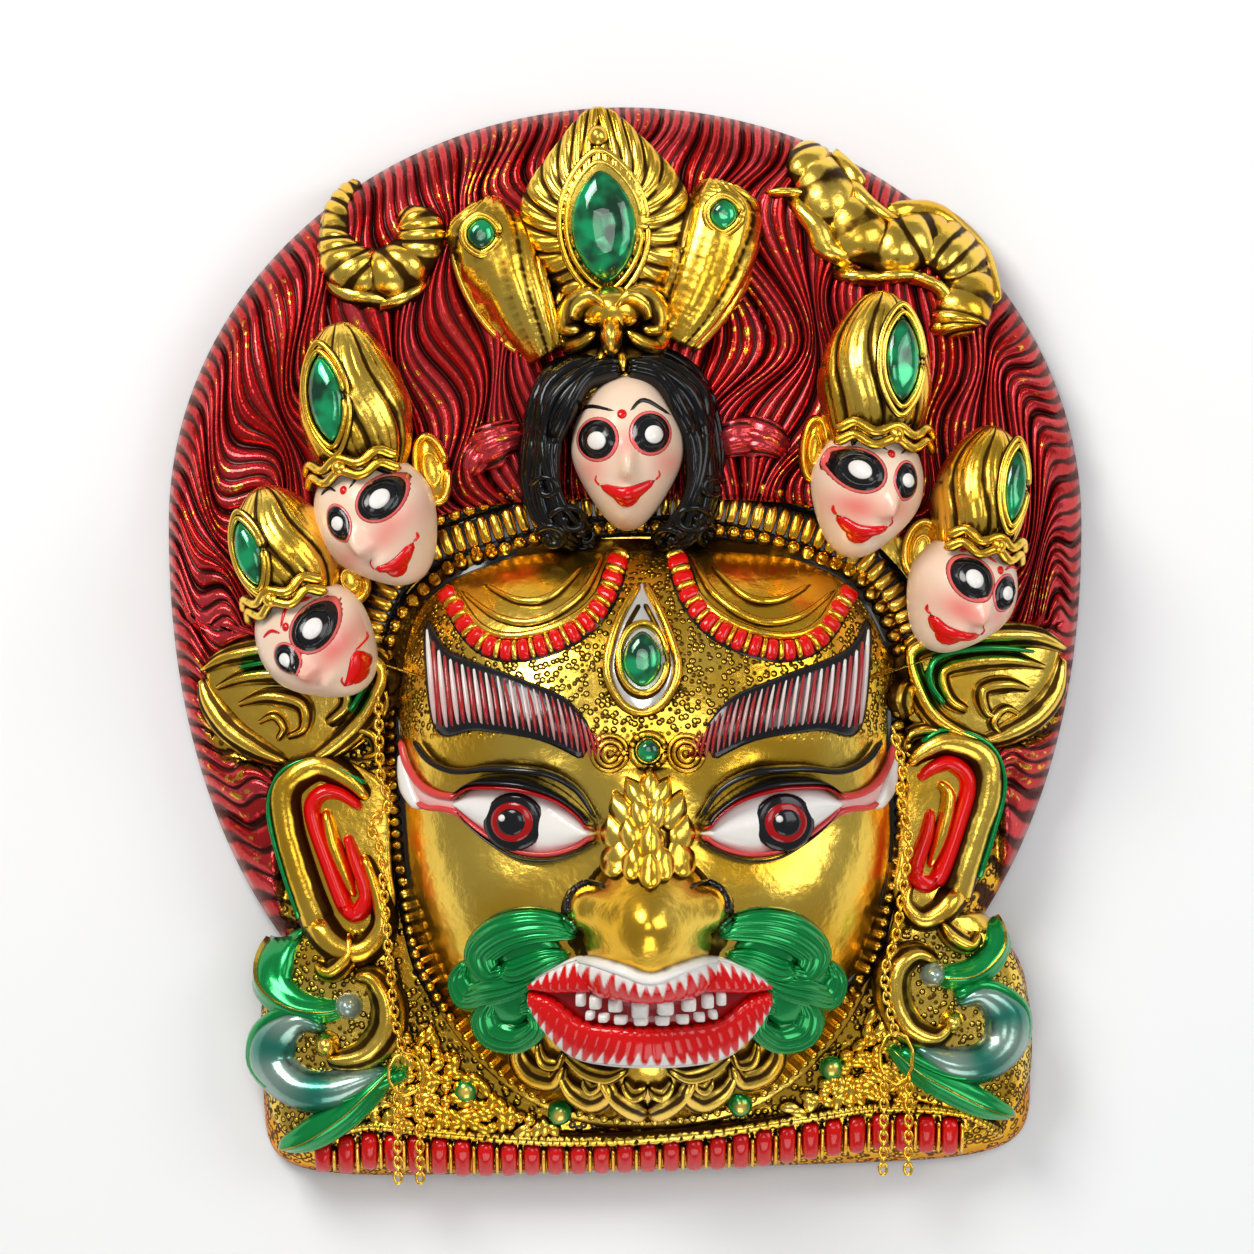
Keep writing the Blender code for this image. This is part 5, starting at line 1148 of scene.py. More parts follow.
EAR_GROUNDS = (
    ((372, 770), (318, 752), (284, 778), (280, 830), (292, 890), (316, 945)),
    ((390, 780), (392, 830), (394, 870), (398, 900), (390, 935), (350, 960)),
    ((905, 750), (944, 728), (990, 745), (998, 800), (980, 870), (958, 915)),
    ((900, 770), (896, 810), (892, 850), (890, 885), (898, 910), (920, 928)),
    ((203, 672), (240, 645), (300, 640), (350, 642), (385, 655), (392, 668)),
    ((212, 690), (236, 722), (262, 752), (300, 766), (350, 752), (384, 728)),
    ((1062, 646), (1030, 630), (990, 628), (940, 632), (912, 642), (900, 655)),
    ((1050, 668), (1034, 712), (1004, 738), (970, 744), (930, 736), (902, 716)),
    ((309, 926), (276, 960), (262, 1010), (262, 1070), (274, 1120), (296, 1146)),
    ((352, 930), (392, 955), (404, 990), (408, 1030), (404, 1070), (392, 1110)),
    ((985, 912), (1010, 950), (1028, 1000), (1032, 1050), (1026, 1090), (1006, 1122)),
    ((935, 912), (888, 940), (876, 980), (878, 1020), (884, 1060), (900, 1100)),
)


def sides_of(gold, paint, foil, colours):
    """Ears, their crests, and the scrolls and leaves of the shoulders."""
    green, teal, red, white = colours.green, colours.teal, colours.red, colours.white
    for one, two in zip(EAR_GROUNDS[::2], EAR_GROUNDS[1::2]):
        gold.ruled(traced(one), traced(two), 3.2, sides=28, along=50, sink=3.0, power=0.35)
    below = traced(((0, 930),))[0, 1]
    for v in gold.shape.verts:
        v[gold.paint] = (1.0, 1.0, 1.0, float(v.co.y < below))
    grounds = len(gold.shape.verts)
    for ear in (EAR_LEFT, EAR_RIGHT):
        helix = traced(ear["helix"]) * [1.0, 1.0, 1.25]
        gold.roll(helix, 10.5, sides=24, steps=7, carve=ribbed(2, 0.08))
        foil.using(green)
        foil.roll(traced(ear["green"]), 9.0, sides=8)
        paint.using(red)
        paint.roll(traced(ear["red"]) * [1.0, 1.0, 1.35], 8.5, sides=16, steps=7)
        gold.roll(traced(ear["core"]) * [1.0, 1.0, 0.9], 9.5, sides=16)
    for crest in (CREST_LEFT, CREST_RIGHT):
        for number, path in enumerate(crest):
            gold.roll(traced(path) * [1.0, 1.0, 1.3], 10.5 - min(number, 3), sides=24, steps=6, carve=ribbed(3, 0.22))
    foil.using(green)
    for path in CREST_GREEN:
        foil.roll(traced(path), 12.5, sides=8)
    for path in SHOULDERS["green"]:
        foil.using(green)
        foil.roll(traced(path) * [1.0, 1.0, 1.2], 11.0, sides=30, steps=8, carve=ribbed(3, 0.22))
        middle = traced(path)
        middle[:, 2] *= 0.14
        gold.roll(middle, 12.4, sides=6)
    for path in SHOULDERS["teal"]:
        # Paler teal in bands along each scroll is a painted highlight.
        foil.using(teal, tuple(0.65 * a + 0.35 * b for a, b in zip(teal, white)))
        foil.roll(traced(path) * [1.0, 1.0, 1.25], 11.5, sides=30, steps=8, carve=ribbed(2, 0.12),
                  tint=lambda t: np.sin(t * math.pi * 3.0) ** 2)
        made = traced(path)
        rim = made[:, :2] + (made[:, :2] - made[:, :2].mean(axis=0)) * 0.28
        foil.using(green)
        foil.roll(np.column_stack([rim, np.full(len(rim), 3.4)]), 9.5, sides=10)
    for path in SHOULDERS["gold"]:
        gold.roll(traced(path) * [1.0, 1.0, 1.3], 12.0, sides=30, steps=8, carve=ribbed(3, 0.18))
    for number, (x, y, radius) in enumerate(traced(SHOULDERS["balls"])):
        foil.using(tuple(0.6 * a + 0.4 * b for a, b in zip(teal, white)))
        (gold if number % 2 else foil).dome(x, y, (radius, radius), 13.0, spokes=24, rings=12)
    return grounds


def collar_of(gold, paint, foil, colours):
    """Rope, tongues, studs and leafy relief of the collar."""
    rope = traced(ROPE)
    gold.roll(np.column_stack([rope, np.full(len(rope), 2.3)]), 3.6, sides=10, steps=30, carve=ringed(3.0, 0.35, 1.0))
    rng = np.random.default_rng(SEED + 1)
    for x in np.arange(-121.0, 137.0, 9.3):
        top = np.interp(x, rope[:, 0], rope[:, 1]) - 3.4
        angle = math.atan2(top - POLE[1], x - POLE[0])
        reach = float(edge_radius(np.array([angle]))[0])
        foot = max(POLE[1] + reach * math.sin(angle) + 1.5, top - 13.0)
        paint.using(colours.red)
        paint.dome(x, (top + foot) / 2.0, (3.5, (top - foot) / 2.0 + 1.0), 4.2, spokes=20, rings=8, square=0.5)
        gold.roll([(x + 4.65, top, 0.9), (x + 4.65, (top + foot) / 2, 1.1), (x + 4.65, foot, 0.9)], 4.0, sides=8)
    for x, y in ((466, 1090), (831, 1067), (560, 1112), (740, 1104)):
        px, py = traced(((x, y, 1),))[0][:2]
        foil.using(colours.green, colours.pale_gold)
        foil.dome(px, py, (5.0, 5.0), 4.6, spokes=20, rings=12, shade=lambda turn, far: smooth_step(0.6, 0.3, far))
    for number in range(62):
        x = -104.0 + 3.6 * number + rng.uniform(-1.0, 1.0)
        line = np.interp(x, rope[:, 0], rope[:, 1])
        for step in (4.0, 8.5, 13.0, 17.5, 22.0, 27.0, 32.0, 38.0):
            y = line + step + rng.uniform(-1.2, 1.2)
            if face_level(x, y) < BORDER_LEVEL + 0.07:
                continue
            turn = rng.uniform(0.0, 2.0 * math.pi)
            long = rng.uniform(3.0, 5.0)
            ends = [(x + long * s * math.cos(turn + bend), y + long * s * math.sin(turn + bend), w)
                    for s, bend, w in ((-1.0, 0.0, 0.8), (-0.3, 0.6, 2.5), (0.4, -0.5, 2.6), (1.0, 0.0, 0.8))]
            gold.roll(ends, 3.0, sides=8, steps=3)


def serpents_of(gold, colours):
    """The two serpents that lie in the hair."""
    gold.roll(traced(LEFT_SERPENT), 11.0, sides=30, steps=12, carve=ringed(4.6, 0.16))
    gold.roll(traced(CRESCENT), 7.0, sides=14, steps=8, carve=ribbed(2, 0.2))
    gold.roll(traced(RIGHT_SERPENT), 11.0, sides=30, steps=12, carve=ringed(6.4, 0.14))
    for path in SERPENT_RIBS:
        gold.roll(traced(path), 9.0, sides=12, steps=8)


# The small heads

def head_frame(at, height, roll, turn):
    spin = Matrix.Rotation(math.radians(roll), 4, "Z") @ Matrix.Rotation(math.radians(turn), 4, "Y")
    return Matrix.Translation(Vector((at[0], at[1], height))) @ spin


def face_bumps(x, y):
    """Eyes, nose, lips and chin over a doll's face of unit half size, as shares of its depth."""
    eyes = np.exp(-((np.abs(x) - 0.42) / 0.24) ** 2 - ((y - 0.16) / 0.20) ** 2)
    nose = np.exp(-(x / 0.15) ** 2) * smooth_step(0.25, -0.22, y) * smooth_step(-0.40, -0.26, y)
    lips = np.exp(-(x / 0.30) ** 2 - ((y + 0.55) / 0.10) ** 2)
    chin = np.exp(-(x / 0.28) ** 2 - ((y + 0.86) / 0.16) ** 2)
    return 0.06 * eyes + 0.28 * nose + 0.09 * lips + 0.08 * chin


def doll_height(half, depth):
    """Height of a doll's face over its own middle."""
    def height_of(x, y):
        u, v = x / half[0], y / half[1]
        jaw = 1.0 - 0.30 * smooth_step(0.1, -1.0, v) - 0.06 * smooth_step(0.3, 1.0, v)
        inside = np.clip(1.0 - (u / jaw) ** 2 - v**2, 0.0, 1.0)
        return depth * (np.sqrt(inside) + face_bumps(u / jaw, v) * smooth_step(0.0, 0.2, inside))
    return height_of


class Doll:
    """One small head: its frame, the height of its face, and places found on it under the photograph's."""

    def __init__(self, at, half, roll, turn, height, depth):
        self.half, self.depth = half, depth
        self.matrix = head_frame(at, height, roll, turn)
        self.back = self.matrix.inverted()
        self.bed = Bed((-half[0] * 1.3, -half[1] * 1.3), (half[0] * 1.3, half[1] * 1.3), 0.5, doll_height(half, depth))

    def local(self, path):
        """Own places of traced ones, found on the face in a few steps."""
        made = []
        for x, y, width in traced(path):
            own = Vector((0.0, 0.0, self.depth))
            for _ in range(12):
                own.z = float(self.bed(np.array([own.x]), np.array([own.y]))[0])
                miss = Vector((x, y, 0.0)) - self.matrix @ own
                miss.z = 0.0
                own += (self.back.to_3x3() @ miss) * 0.9
            made.append((own.x, own.y, width))
        return np.array(made)

    def skin(self, work, colours, cheeks):
        """The painted face, with blush round the eyes and on the cheeks."""
        spots = self.local([(*p, 1.0) for p in cheeks])
        half = self.half

        def form(a, b, c):
            jaw = 1.0 - 0.30 * smooth_step(0.1, -1.0, b) - 0.06 * smooth_step(0.3, 1.0, b)
            a = a * jaw
            c = c + face_bumps(a / jaw, b) * smooth_step(0.0, 0.3, c)
            blush = sum(np.exp(-((a * half[0] - x) / 6.4) ** 2 - ((b * half[1] - y) / 5.4) ** 2) for x, y, _ in spots)
            return a, b, np.maximum(c, -0.4), np.zeros_like(a), np.where(c > 0.0, blush * 0.5, 0.0)

        work.using(colours.skin, colours.blush)
        work.ball((*half, self.depth), form, 96, 64)


DOLLS = {
    "left_upper": {
        "eyes": ((382, 502, 20, 20), (343, 525, 13, 19)), "dots": ((382, 502, 9.4), (343, 525, 7.5)),
        "brows": (((352, 491, 2), (373, 469, 4), (398, 477, 2)), ((324, 497, 1.5), (332, 490, 3), (340, 493, 1.5))),
        "bindi": (347, 492, 4), "lips": ((378, 570, 2), (400, 565, 6), (416, 543, 2)),
        "cheeks": ((386, 540), (352, 560), (400, 520)), "brow_ink": "black",
        "stone": (330.5, 402, 19, 43), "wires": ((414, 475, 9, 34),),
    },
    "left_lower": {
        "eyes": ((316, 630, 21, 21), (292, 660, 14, 17)), "dots": ((316, 630, 9.5), (292, 660, 7.5)),
        "brows": (((285, 628, 2), (293, 605, 4), (317, 597, 2)), ((267, 638, 1.5), (275, 631, 3), (285, 633, 1.5))),
        "bindi": (290, 627, 4), "lips": ((349, 686, 2), (360, 670, 6), (365, 643, 2)),
        "cheeks": ((336, 655), (310, 680), (345, 640)), "brow_ink": "red",
        "stone": (254.4, 554.5, 15, 33), "wires": (),
    },
    "right_upper": {
        "eyes": ((858.5, 473, 21, 21), (903, 483, 13.5, 19)), "dots": ((858.5, 473, 9.6), (903, 483, 7.5)),
        "brows": (((841, 446, 2), (858, 438, 4), (885, 453, 2)), ((897, 456, 1.5), (907, 450, 3), (916, 456, 1.5))),
        "bindi": (888, 456, 4), "lips": ((834, 516, 2), (856, 532, 6), (885, 528, 2)),
        "cheeks": ((846, 505), (896, 512), (862, 512)), "brow_ink": "black",
        "stone": (898, 363, 19, 42), "wires": (),
    },
    "right_lower": {
        "eyes": ((970, 581, 20, 20), (1001, 594, 14, 18)), "dots": ((970, 581, 9.2), (1001, 594, 7.2)),
        "brows": (((955, 552, 2), (970, 549, 4), (993, 564, 2)), ((1000, 571, 1.5), (1008, 567, 3), (1014, 568, 1.5))),
        "bindi": (996, 571, 4), "lips": ((927, 614, 2), (943, 632, 6), (976, 635, 2)),
        "cheeks": ((950, 606), (994, 618), (966, 614)), "brow_ink": "red",
        "stone": (1009, 487.5, 13, 36), "wires": (),
    },
    "centre": {
        "eyes": ((598, 442, 19, 21), (650, 436, 19, 21)), "dots": ((599, 443.5, 9.8), (652, 438, 9.8)),
        "brows": (((574, 422, 2), (588, 409, 4), (615, 414, 2)), ((630, 414, 2), (644, 403, 4), (671, 418, 2))),
        "bindi": (622, 417, 5), "lips": ((600, 487, 2), (627, 496, 7), (655, 482, 2)),
        "cheeks": ((591, 471), (668, 465), (627, 445)), "brow_ink": "black",
    },
}
HEADS = {
    "left_upper": {"at": (-98.0, 48.6), "half": (24.5, 29.0), "face_roll": 34.0, "turn": -26.0,
                   "cap": (80.0, 22.5), "roll": 12.0, "ear": (-77.0, 68.5), "ear_half": (6.7, 14.6), "seat": 37.5},
    "left_lower": {"at": (-122.0, 0.8), "half": (23.0, 27.0), "face_roll": 48.0, "turn": -28.0,
                   "cap": (65.0, 20.5), "roll": 21.0, "ear": (-109.5, 24.5), "ear_half": (7.0, 9.5), "seat": 36.0},
    "right_upper": {"at": (95.6, 60.6), "half": (22.0, 28.0), "face_roll": -16.0, "turn": 24.0,
                    "cap": (79.0, 23.0), "roll": -5.0, "ear": (75.5, 76.5), "ear_half": (5.0, 13.3), "seat": 37.5},
    "right_lower": {"at": (133.0, 19.8), "half": (21.5, 26.0), "face_roll": -30.0, "turn": 26.0,
                    "cap": (67.5, 18.5), "roll": -12.0, "ear": (118.0, 37.0), "ear_half": (7.0, 12.0), "seat": 36.0},
}
CENTRE_HEAD = {"at": (1.0, 75.0), "half": (22.5, 31.0), "seat": 39.0}
HEAD_LIFT = 12.0
HEAD_DEPTH = 25.0
CAP_DEPTH = 22.0
CAP_FOOT = 0.3


def features(doll, work, spec, colours):
    """Painted eyes, brows, forehead mark and lips of a small head."""
    black, white, red = colours.black, colours.white, colours.red
    for x, y, across, up in spec["eyes"]:
        px, py, _ = doll.local(((x, y, 1.0),))[0]
        work.using(colours.blush)
        work.dome(px, py, (across * 0.45, up * 0.43), 0.9, spokes=32, rings=8)
        work.using(black)
        work.dome(px, py, (across * 0.41, up * 0.39), 1.4, spokes=32, rings=10)
        ring = [(px + across * 0.27 * math.cos(a), py + up * 0.26 * math.sin(a), 0.3)
                for a in np.linspace(0, 2 * math.pi, 17)]
        work.roll(ring, 0.5, sides=6, steps=1, lift=1.2)
    work.using(white)
    for x, y, radius in spec["dots"]:
        px, py, _ = doll.local(((x, y, 1.0),))[0]
        work.dome(px, py, (radius * 0.38, radius * 0.38), 1.2, spokes=20, rings=8, lift=1.2)
    work.using(black if spec["brow_ink"] == "black" else red)
    for path in spec["brows"]:
        work.roll(doll.local(path) * [1.0, 1.0, 0.55], 0.7, sides=8)
    work.using(red)
    x, y, radius = spec["bindi"]
    px, py, _ = doll.local(((x, y, 1.0),))[0]
    work.dome(px, py, (radius * 0.4, radius * 0.4), 0.9, spokes=12)
    work.roll(doll.local(spec["lips"]) * [1.0, 1.0, 1.05], 1.9, sides=12)
    (ax, ay, _), (bx, by, _), (cx, cy, _) = spec["lips"]
    lower = [(ax * 0.6 + bx * 0.4, ay * 0.6 + by * 0.4 + 3, 1.0), (bx, by + 7, 6.0), (cx * 0.6 + bx * 0.4, cy * 0.6 + by * 0.4 + 3, 1.0)]
    work.roll(doll.local(lower), 1.5, sides=12)
    for (ex, ey), lean in (((ax, ay), -1.0), ((cx, cy), 1.0)):
        work.roll(doll.local([(ex, ey, 1.0), (ex + lean * 4, ey - 5, 0.9), (ex + lean * 3, ey - 10, 0.4)]), 0.6, sides=6)


def cap_form(a, b, c):
    """Upright leaves round a cap, narrower at the top, with painted shade in the line between leaves."""
    turn = np.arctan2(a, np.maximum(c, 0.02))
    bend = turn * 4.0 + 0.9 * np.sin(b * 3.0)
    leaf = np.abs(np.cos(bend)) ** 0.35
    fine = np.abs(np.cos(bend * 3.0 + 0.5)) ** 0.35
    size = (1.0 - 0.14 * np.clip(b, 0.0, 1.0)) * (0.90 + 0.07 * leaf + 0.04 * fine)
    groove = np.clip((1.0 - leaf) * 0.8 + (1.0 - fine) * 0.5, 0.0, 1.0)
    return a * size, b, np.maximum(c * size, -0.4), groove, a * 0.0


def stone_form(a, b, c):
    """An oval stone drawn to points at both ends, with a flat table."""
    narrow = 1.0 - 0.35 * np.abs(b) ** 3
    return a * narrow, b, np.minimum(np.maximum(c, -0.2), 0.86), a * 0.0, a * 0.0


def set_in(gold, glass_work, matrix, half, rise):
    """A cut stone and its raised bezel of two rings, about a frame."""
    ring = [(math.cos(a) * half[0] * (1.0 - 0.35 * abs(math.sin(a)) ** 3), math.sin(a) * half[1], 1.0)
            for a in np.linspace(0, 2 * math.pi, 25)]
    flat = Bed((-60.0, -60.0), (60.0, 60.0), 10.0, lambda x, y: x * 0.0)
    gold.bed, gold.matrix = flat, matrix
    for grow, width, high in ((1.12, 1.2, 2.6), (1.32, 1.4, 1.4)):
        gold.roll([(x * grow, y * grow, width) for x, y, _ in ring], high, sides=8, steps=2, sink=2.0)
    glass_work.matrix = matrix
    glass_work.ball((half[0], half[1], rise), stone_form, 24, 12)


def side_head(name, colours):
    """One side head: skin, painted features, leafed cap, ear and stone."""
    own, spec = HEADS[name], DOLLS[name]
    doll = Doll(own["at"], own["half"], own["face_roll"], own["turn"], own["seat"] + HEAD_LIFT, HEAD_DEPTH)
    skin = Work(doll.bed, doll.matrix)
    doll.skin(skin, colours, spec["cheeks"])
    skin.finish(f"skin_{name}", material_of("skin"), "painted_head", (f"head_{name}",))
    marks = Work(doll.bed, doll.matrix)
    features(doll, marks, spec, colours)
    marks.finish(f"features_{name}", material_of("enamel"), "painted_head")
    foot, top = own["half"][1] * CAP_FOOT, own["cap"][0]
    middle, tall = (foot + top) / 2.0, (top - foot) / 2.0
    frame_of = head_frame(own["at"], own["seat"] + HEAD_LIFT, own["roll"], own["turn"])
    gold = Work(None, frame_of @ Matrix.Translation((0.0, middle, 0.0)))
    gold.ball((own["cap"][1], tall, CAP_DEPTH), cap_form, 240, 60)
    hem = own["half"][1] * 0.68
    wave = np.linspace(-1.1, 1.1, 29)
    flat = Bed((-60.0, -60.0), (60.0, 60.0), 1.0,
               lambda x, y: (CAP_DEPTH + 1.0) * np.sqrt(np.clip(1.0 - (x / (own["cap"][1] + 2.0)) ** 2, 0.0, 1.0)))
    gold.bed, gold.matrix = flat, frame_of
    for shift in (0.0, 5.0):
        gold.roll([((own["cap"][1] + 1.0) * math.sin(t), hem + shift + 1.6 * math.cos(t * 9.0), 2.0) for t in wave],
                  2.4, sides=10, steps=3)
    gold.dome(0.0, hem + 3.0, (3.4, 3.4), 4.0, spokes=16, rings=8)
    ew, eh = own["ear_half"]
    gold.bed = Bed((-40.0, -40.0), (40.0, 40.0), 10.0, lambda x, y: x * 0.0)
    gold.matrix = head_frame(own["ear"], own["seat"] + 7.0, own["roll"], 0.0)
    gold.dome(0.0, 0.0, (ew, eh), 5.0, spokes=24, rings=10)
    for share, width, rise in ((0.92, 1.9, 6.4), (0.45, 1.1, 6.6)):
        gold.roll([(ew * share * math.cos(a), eh * share * math.sin(a), width) for a in np.linspace(0, 2 * math.pi, 21)],
                  rise, sides=8, steps=2, sink=5.0)
    x, y, across, up = spec["stone"]
    at = traced(((x, y, 1.0),))[0]
    place = Vector((0.0, middle + tall * 0.1, CAP_DEPTH))
    for _ in range(12):
        rise = np.clip((place.y - middle) / tall, -0.98, 0.98)
        place.z = CAP_DEPTH * math.sqrt(max(0.05, 1.0 - rise**2 - (place.x / own["cap"][1]) ** 2)) - 0.6
        miss = Vector((at[0], at[1], 0.0)) - frame_of @ place
        miss.z = 0.0
        place += (frame_of.inverted().to_3x3() @ miss) * 0.9
    lean = Matrix.Rotation(-math.atan2((place.y - middle) * CAP_DEPTH, tall * tall), 4, "X")
    side = Matrix.Rotation(math.atan2(place.x * CAP_DEPTH, own["cap"][1] ** 2) * 0.6, 4, "Y")
    stone = Work()
    set_in(gold, stone, frame_of @ Matrix.Translation(place) @ side @ lean, (across * 0.4, up * 0.4), 4.6)
    gold.finish(f"cap_{name}", material_of("gilt"), "gilt_sheet")
    stone.finish(f"glass_{name}", material_of("glass"), "green_stone", (f"stone_{name}",))


HAIR_MASSES = (
    ((-4.0, 16.0), (36.0, 23.0), 24.0),
    ((-27.0, -8.0), (13.0, 31.0), 16.0),
    ((21.0, -8.0), (13.0, 31.0), 16.0),
)


def centre_hair(x, y):
    """Height of the dark hair round the centre head, over its seat."""
    cx, cy = CENTRE_HEAD["at"]
    tops = [pad(round_level(x, y, (cx + at[0], cy + at[1]), half), height) for at, half, height in HAIR_MASSES]
    return CENTRE_HEAD["seat"] + 3.0 + np.maximum.reduce(tops)


def centre_head(colours):
    """The head under the crown: skin, features, and black hair parted and curled."""
    spec = DOLLS["centre"]
    cx, cy = CENTRE_HEAD["at"]
    doll = Doll((cx, cy), CENTRE_HEAD["half"], 0.0, 0.0, CENTRE_HEAD["seat"] + HEAD_LIFT, HEAD_DEPTH)
    skin = Work(doll.bed, doll.matrix)
    doll.skin(skin, colours, spec["cheeks"])
    skin.finish("skin_centre", material_of("skin"), "painted_head", ("head_centre",))
    marks = Work(doll.bed, doll.matrix)
    features(doll, marks, spec, colours)
    marks.finish("features_centre", material_of("enamel"), "painted_head")
    hair = Work(Bed((cx - 60.0, cy - 60.0), (cx + 60.0, cy + 60.0), 0.6, centre_hair))
    hair.using(tuple(0.5 * c for c in colours.black))
    inner = ((-2.0, 32.0), (11.0, 28.5), (20.5, 17.0), (24.5, 2.0), (23.5, -16.0), (17.0, -30.0), (8.0, -37.0))
    outer = ((-3.0, 40.0), (14.0, 41.0), (31.0, 30.0), (36.0, 4.0), (34.0, -20.0), (25.0, -35.0), (12.0, -39.0))
    for side in (-1.0, 1.0):
        for number in range(13):
            t = number / 12.0
            path = []
            for step, (a, b) in enumerate(zip(inner, outer)):
                x, y = a[0] + (b[0] - a[0]) * t, a[1] + (b[1] - a[1]) * t
                x = -1.5 + side * (x + 1.5 + 1.6 * math.sin(step * 2.2 + t * 7.0)) if step else side * 1.2 - 1.5
                path.append((cx + x, cy + y, (0.8, 1.5, 1.8, 1.9, 1.8, 1.5, 0.8)[step]))
            hair.roll(path, 3.6, sides=10, steps=6, sink=6.0, lift=1.2 * math.sin(number * 1.9))
        for x, y, reach in ((24.0, -26.0, 6.0), (17.0, -33.0, 5.0), (31.0, -14.0, 5.0), (29.0, -32.0, 5.0)):
            curl = [(cx + side * (x + reach * (1.0 - a / 9.0) * math.cos(a)), cy + y + reach * (1.0 - a / 9.0) * math.sin(a), 1.5)
                    for a in np.linspace(0.0, 7.5, 14)]
            hair.roll(curl, 3.4, sides=8, steps=3, sink=4.0, lift=2.0)
    hair.finish("hair_centre", material_of("hair"), "painted_head_dark")


CROWN_LEAF = {"at": (-8.0, 171.0), "half": (34.0, 43.0, 17.0), "roll": 4.0}
PETALS = {"left": ((-22.0, 118.0), (-57.0, 163.0), 13.0), "right": ((25.0, 118.0), (39.0, 171.0), 13.0)}
LION = {"at": (-4.0, 127.0), "half": (22.0, 17.0, 24.0)}
CROWN_SEAT = 32.0
SNOUT_LIFT = 22.0
CROWN_EDGE_LEFT = ((575, 306), (545, 286), (530, 250), (528, 205), (540, 160), (562, 126), (595, 105))
CROWN_EDGE_RIGHT = ((655, 306), (674, 280), (682, 236), (677, 200), (658, 154), (630, 122), (595, 105))


def turned(x, y, centre, angle):
    u, v = x - centre[0], y - centre[1]
    return u * math.cos(angle) + v * math.sin(angle), v * math.cos(angle) - u * math.sin(angle)


def crown_height(x, y):
    """Height of the crown's three leaves and the lion mask over their seat."""
    u, v = turned(x, y, CROWN_LEAF["at"], math.radians(CROWN_LEAF["roll"]))
    hu, hv, deep = CROWN_LEAF["half"]
    w = v / hv
    narrow = 1.0 - 0.42 * smooth_step(0.1, 1.0, w) - 0.30 * smooth_step(-0.4, -1.0, w)
    level = np.hypot(u / (hu * narrow), w)
    parts = [np.where(level < 1.0, 4.0 + pad(level, deep), 0.0)]
    for foot, tip, half in PETALS.values():
        run = np.array(tip) - np.array(foot)
        centre, long = (np.array(foot) + tip) / 2.0, float(np.hypot(*run)) / 2.0
        u, v = turned(x, y, centre, math.atan2(-run[0], run[1]))
        level = np.hypot(u / half, v / (long + 12.0))
        parts.append(np.where(level < 1.0, 3.0 + pad(level, 11.0), 0.0))
    level = round_level(x, y, LION["at"], LION["half"][:2])
    parts.append(np.where(level < 1.0, 4.0 + pad(level, LION["half"][2]), 0.0))
    return CROWN_SEAT + np.maximum.reduce(parts)


PETAL_EDGES = (
    (((483, 209), (454, 236), (462, 284), (490, 330), (530, 362)), ((490, 209), (522, 232), (538, 275), (552, 318), (560, 350))),
    (((716, 189), (690, 208), (678, 250), (668, 295), (656, 330)), ((724, 189), (754, 218), (742, 270), (716, 318), (690, 352))),
)


def veined(x, y, s, t):
    """Long ridges and small pits over a leaf of the crown."""
    ridge = np.abs(np.sin(s * 5.0 * math.pi)) ** 0.5
    pit = np.abs(np.sin(t * 24.0 * math.pi)) * (np.abs(np.sin(s * 5.0 * math.pi + 1.57)) ** 3)
    # The second value darkens the finish between the ridges and in the pits: painted shade.
    return 1.6 * ridge - 0.8 * pit, (1.0 - ridge) * 0.6 + pit * 0.25


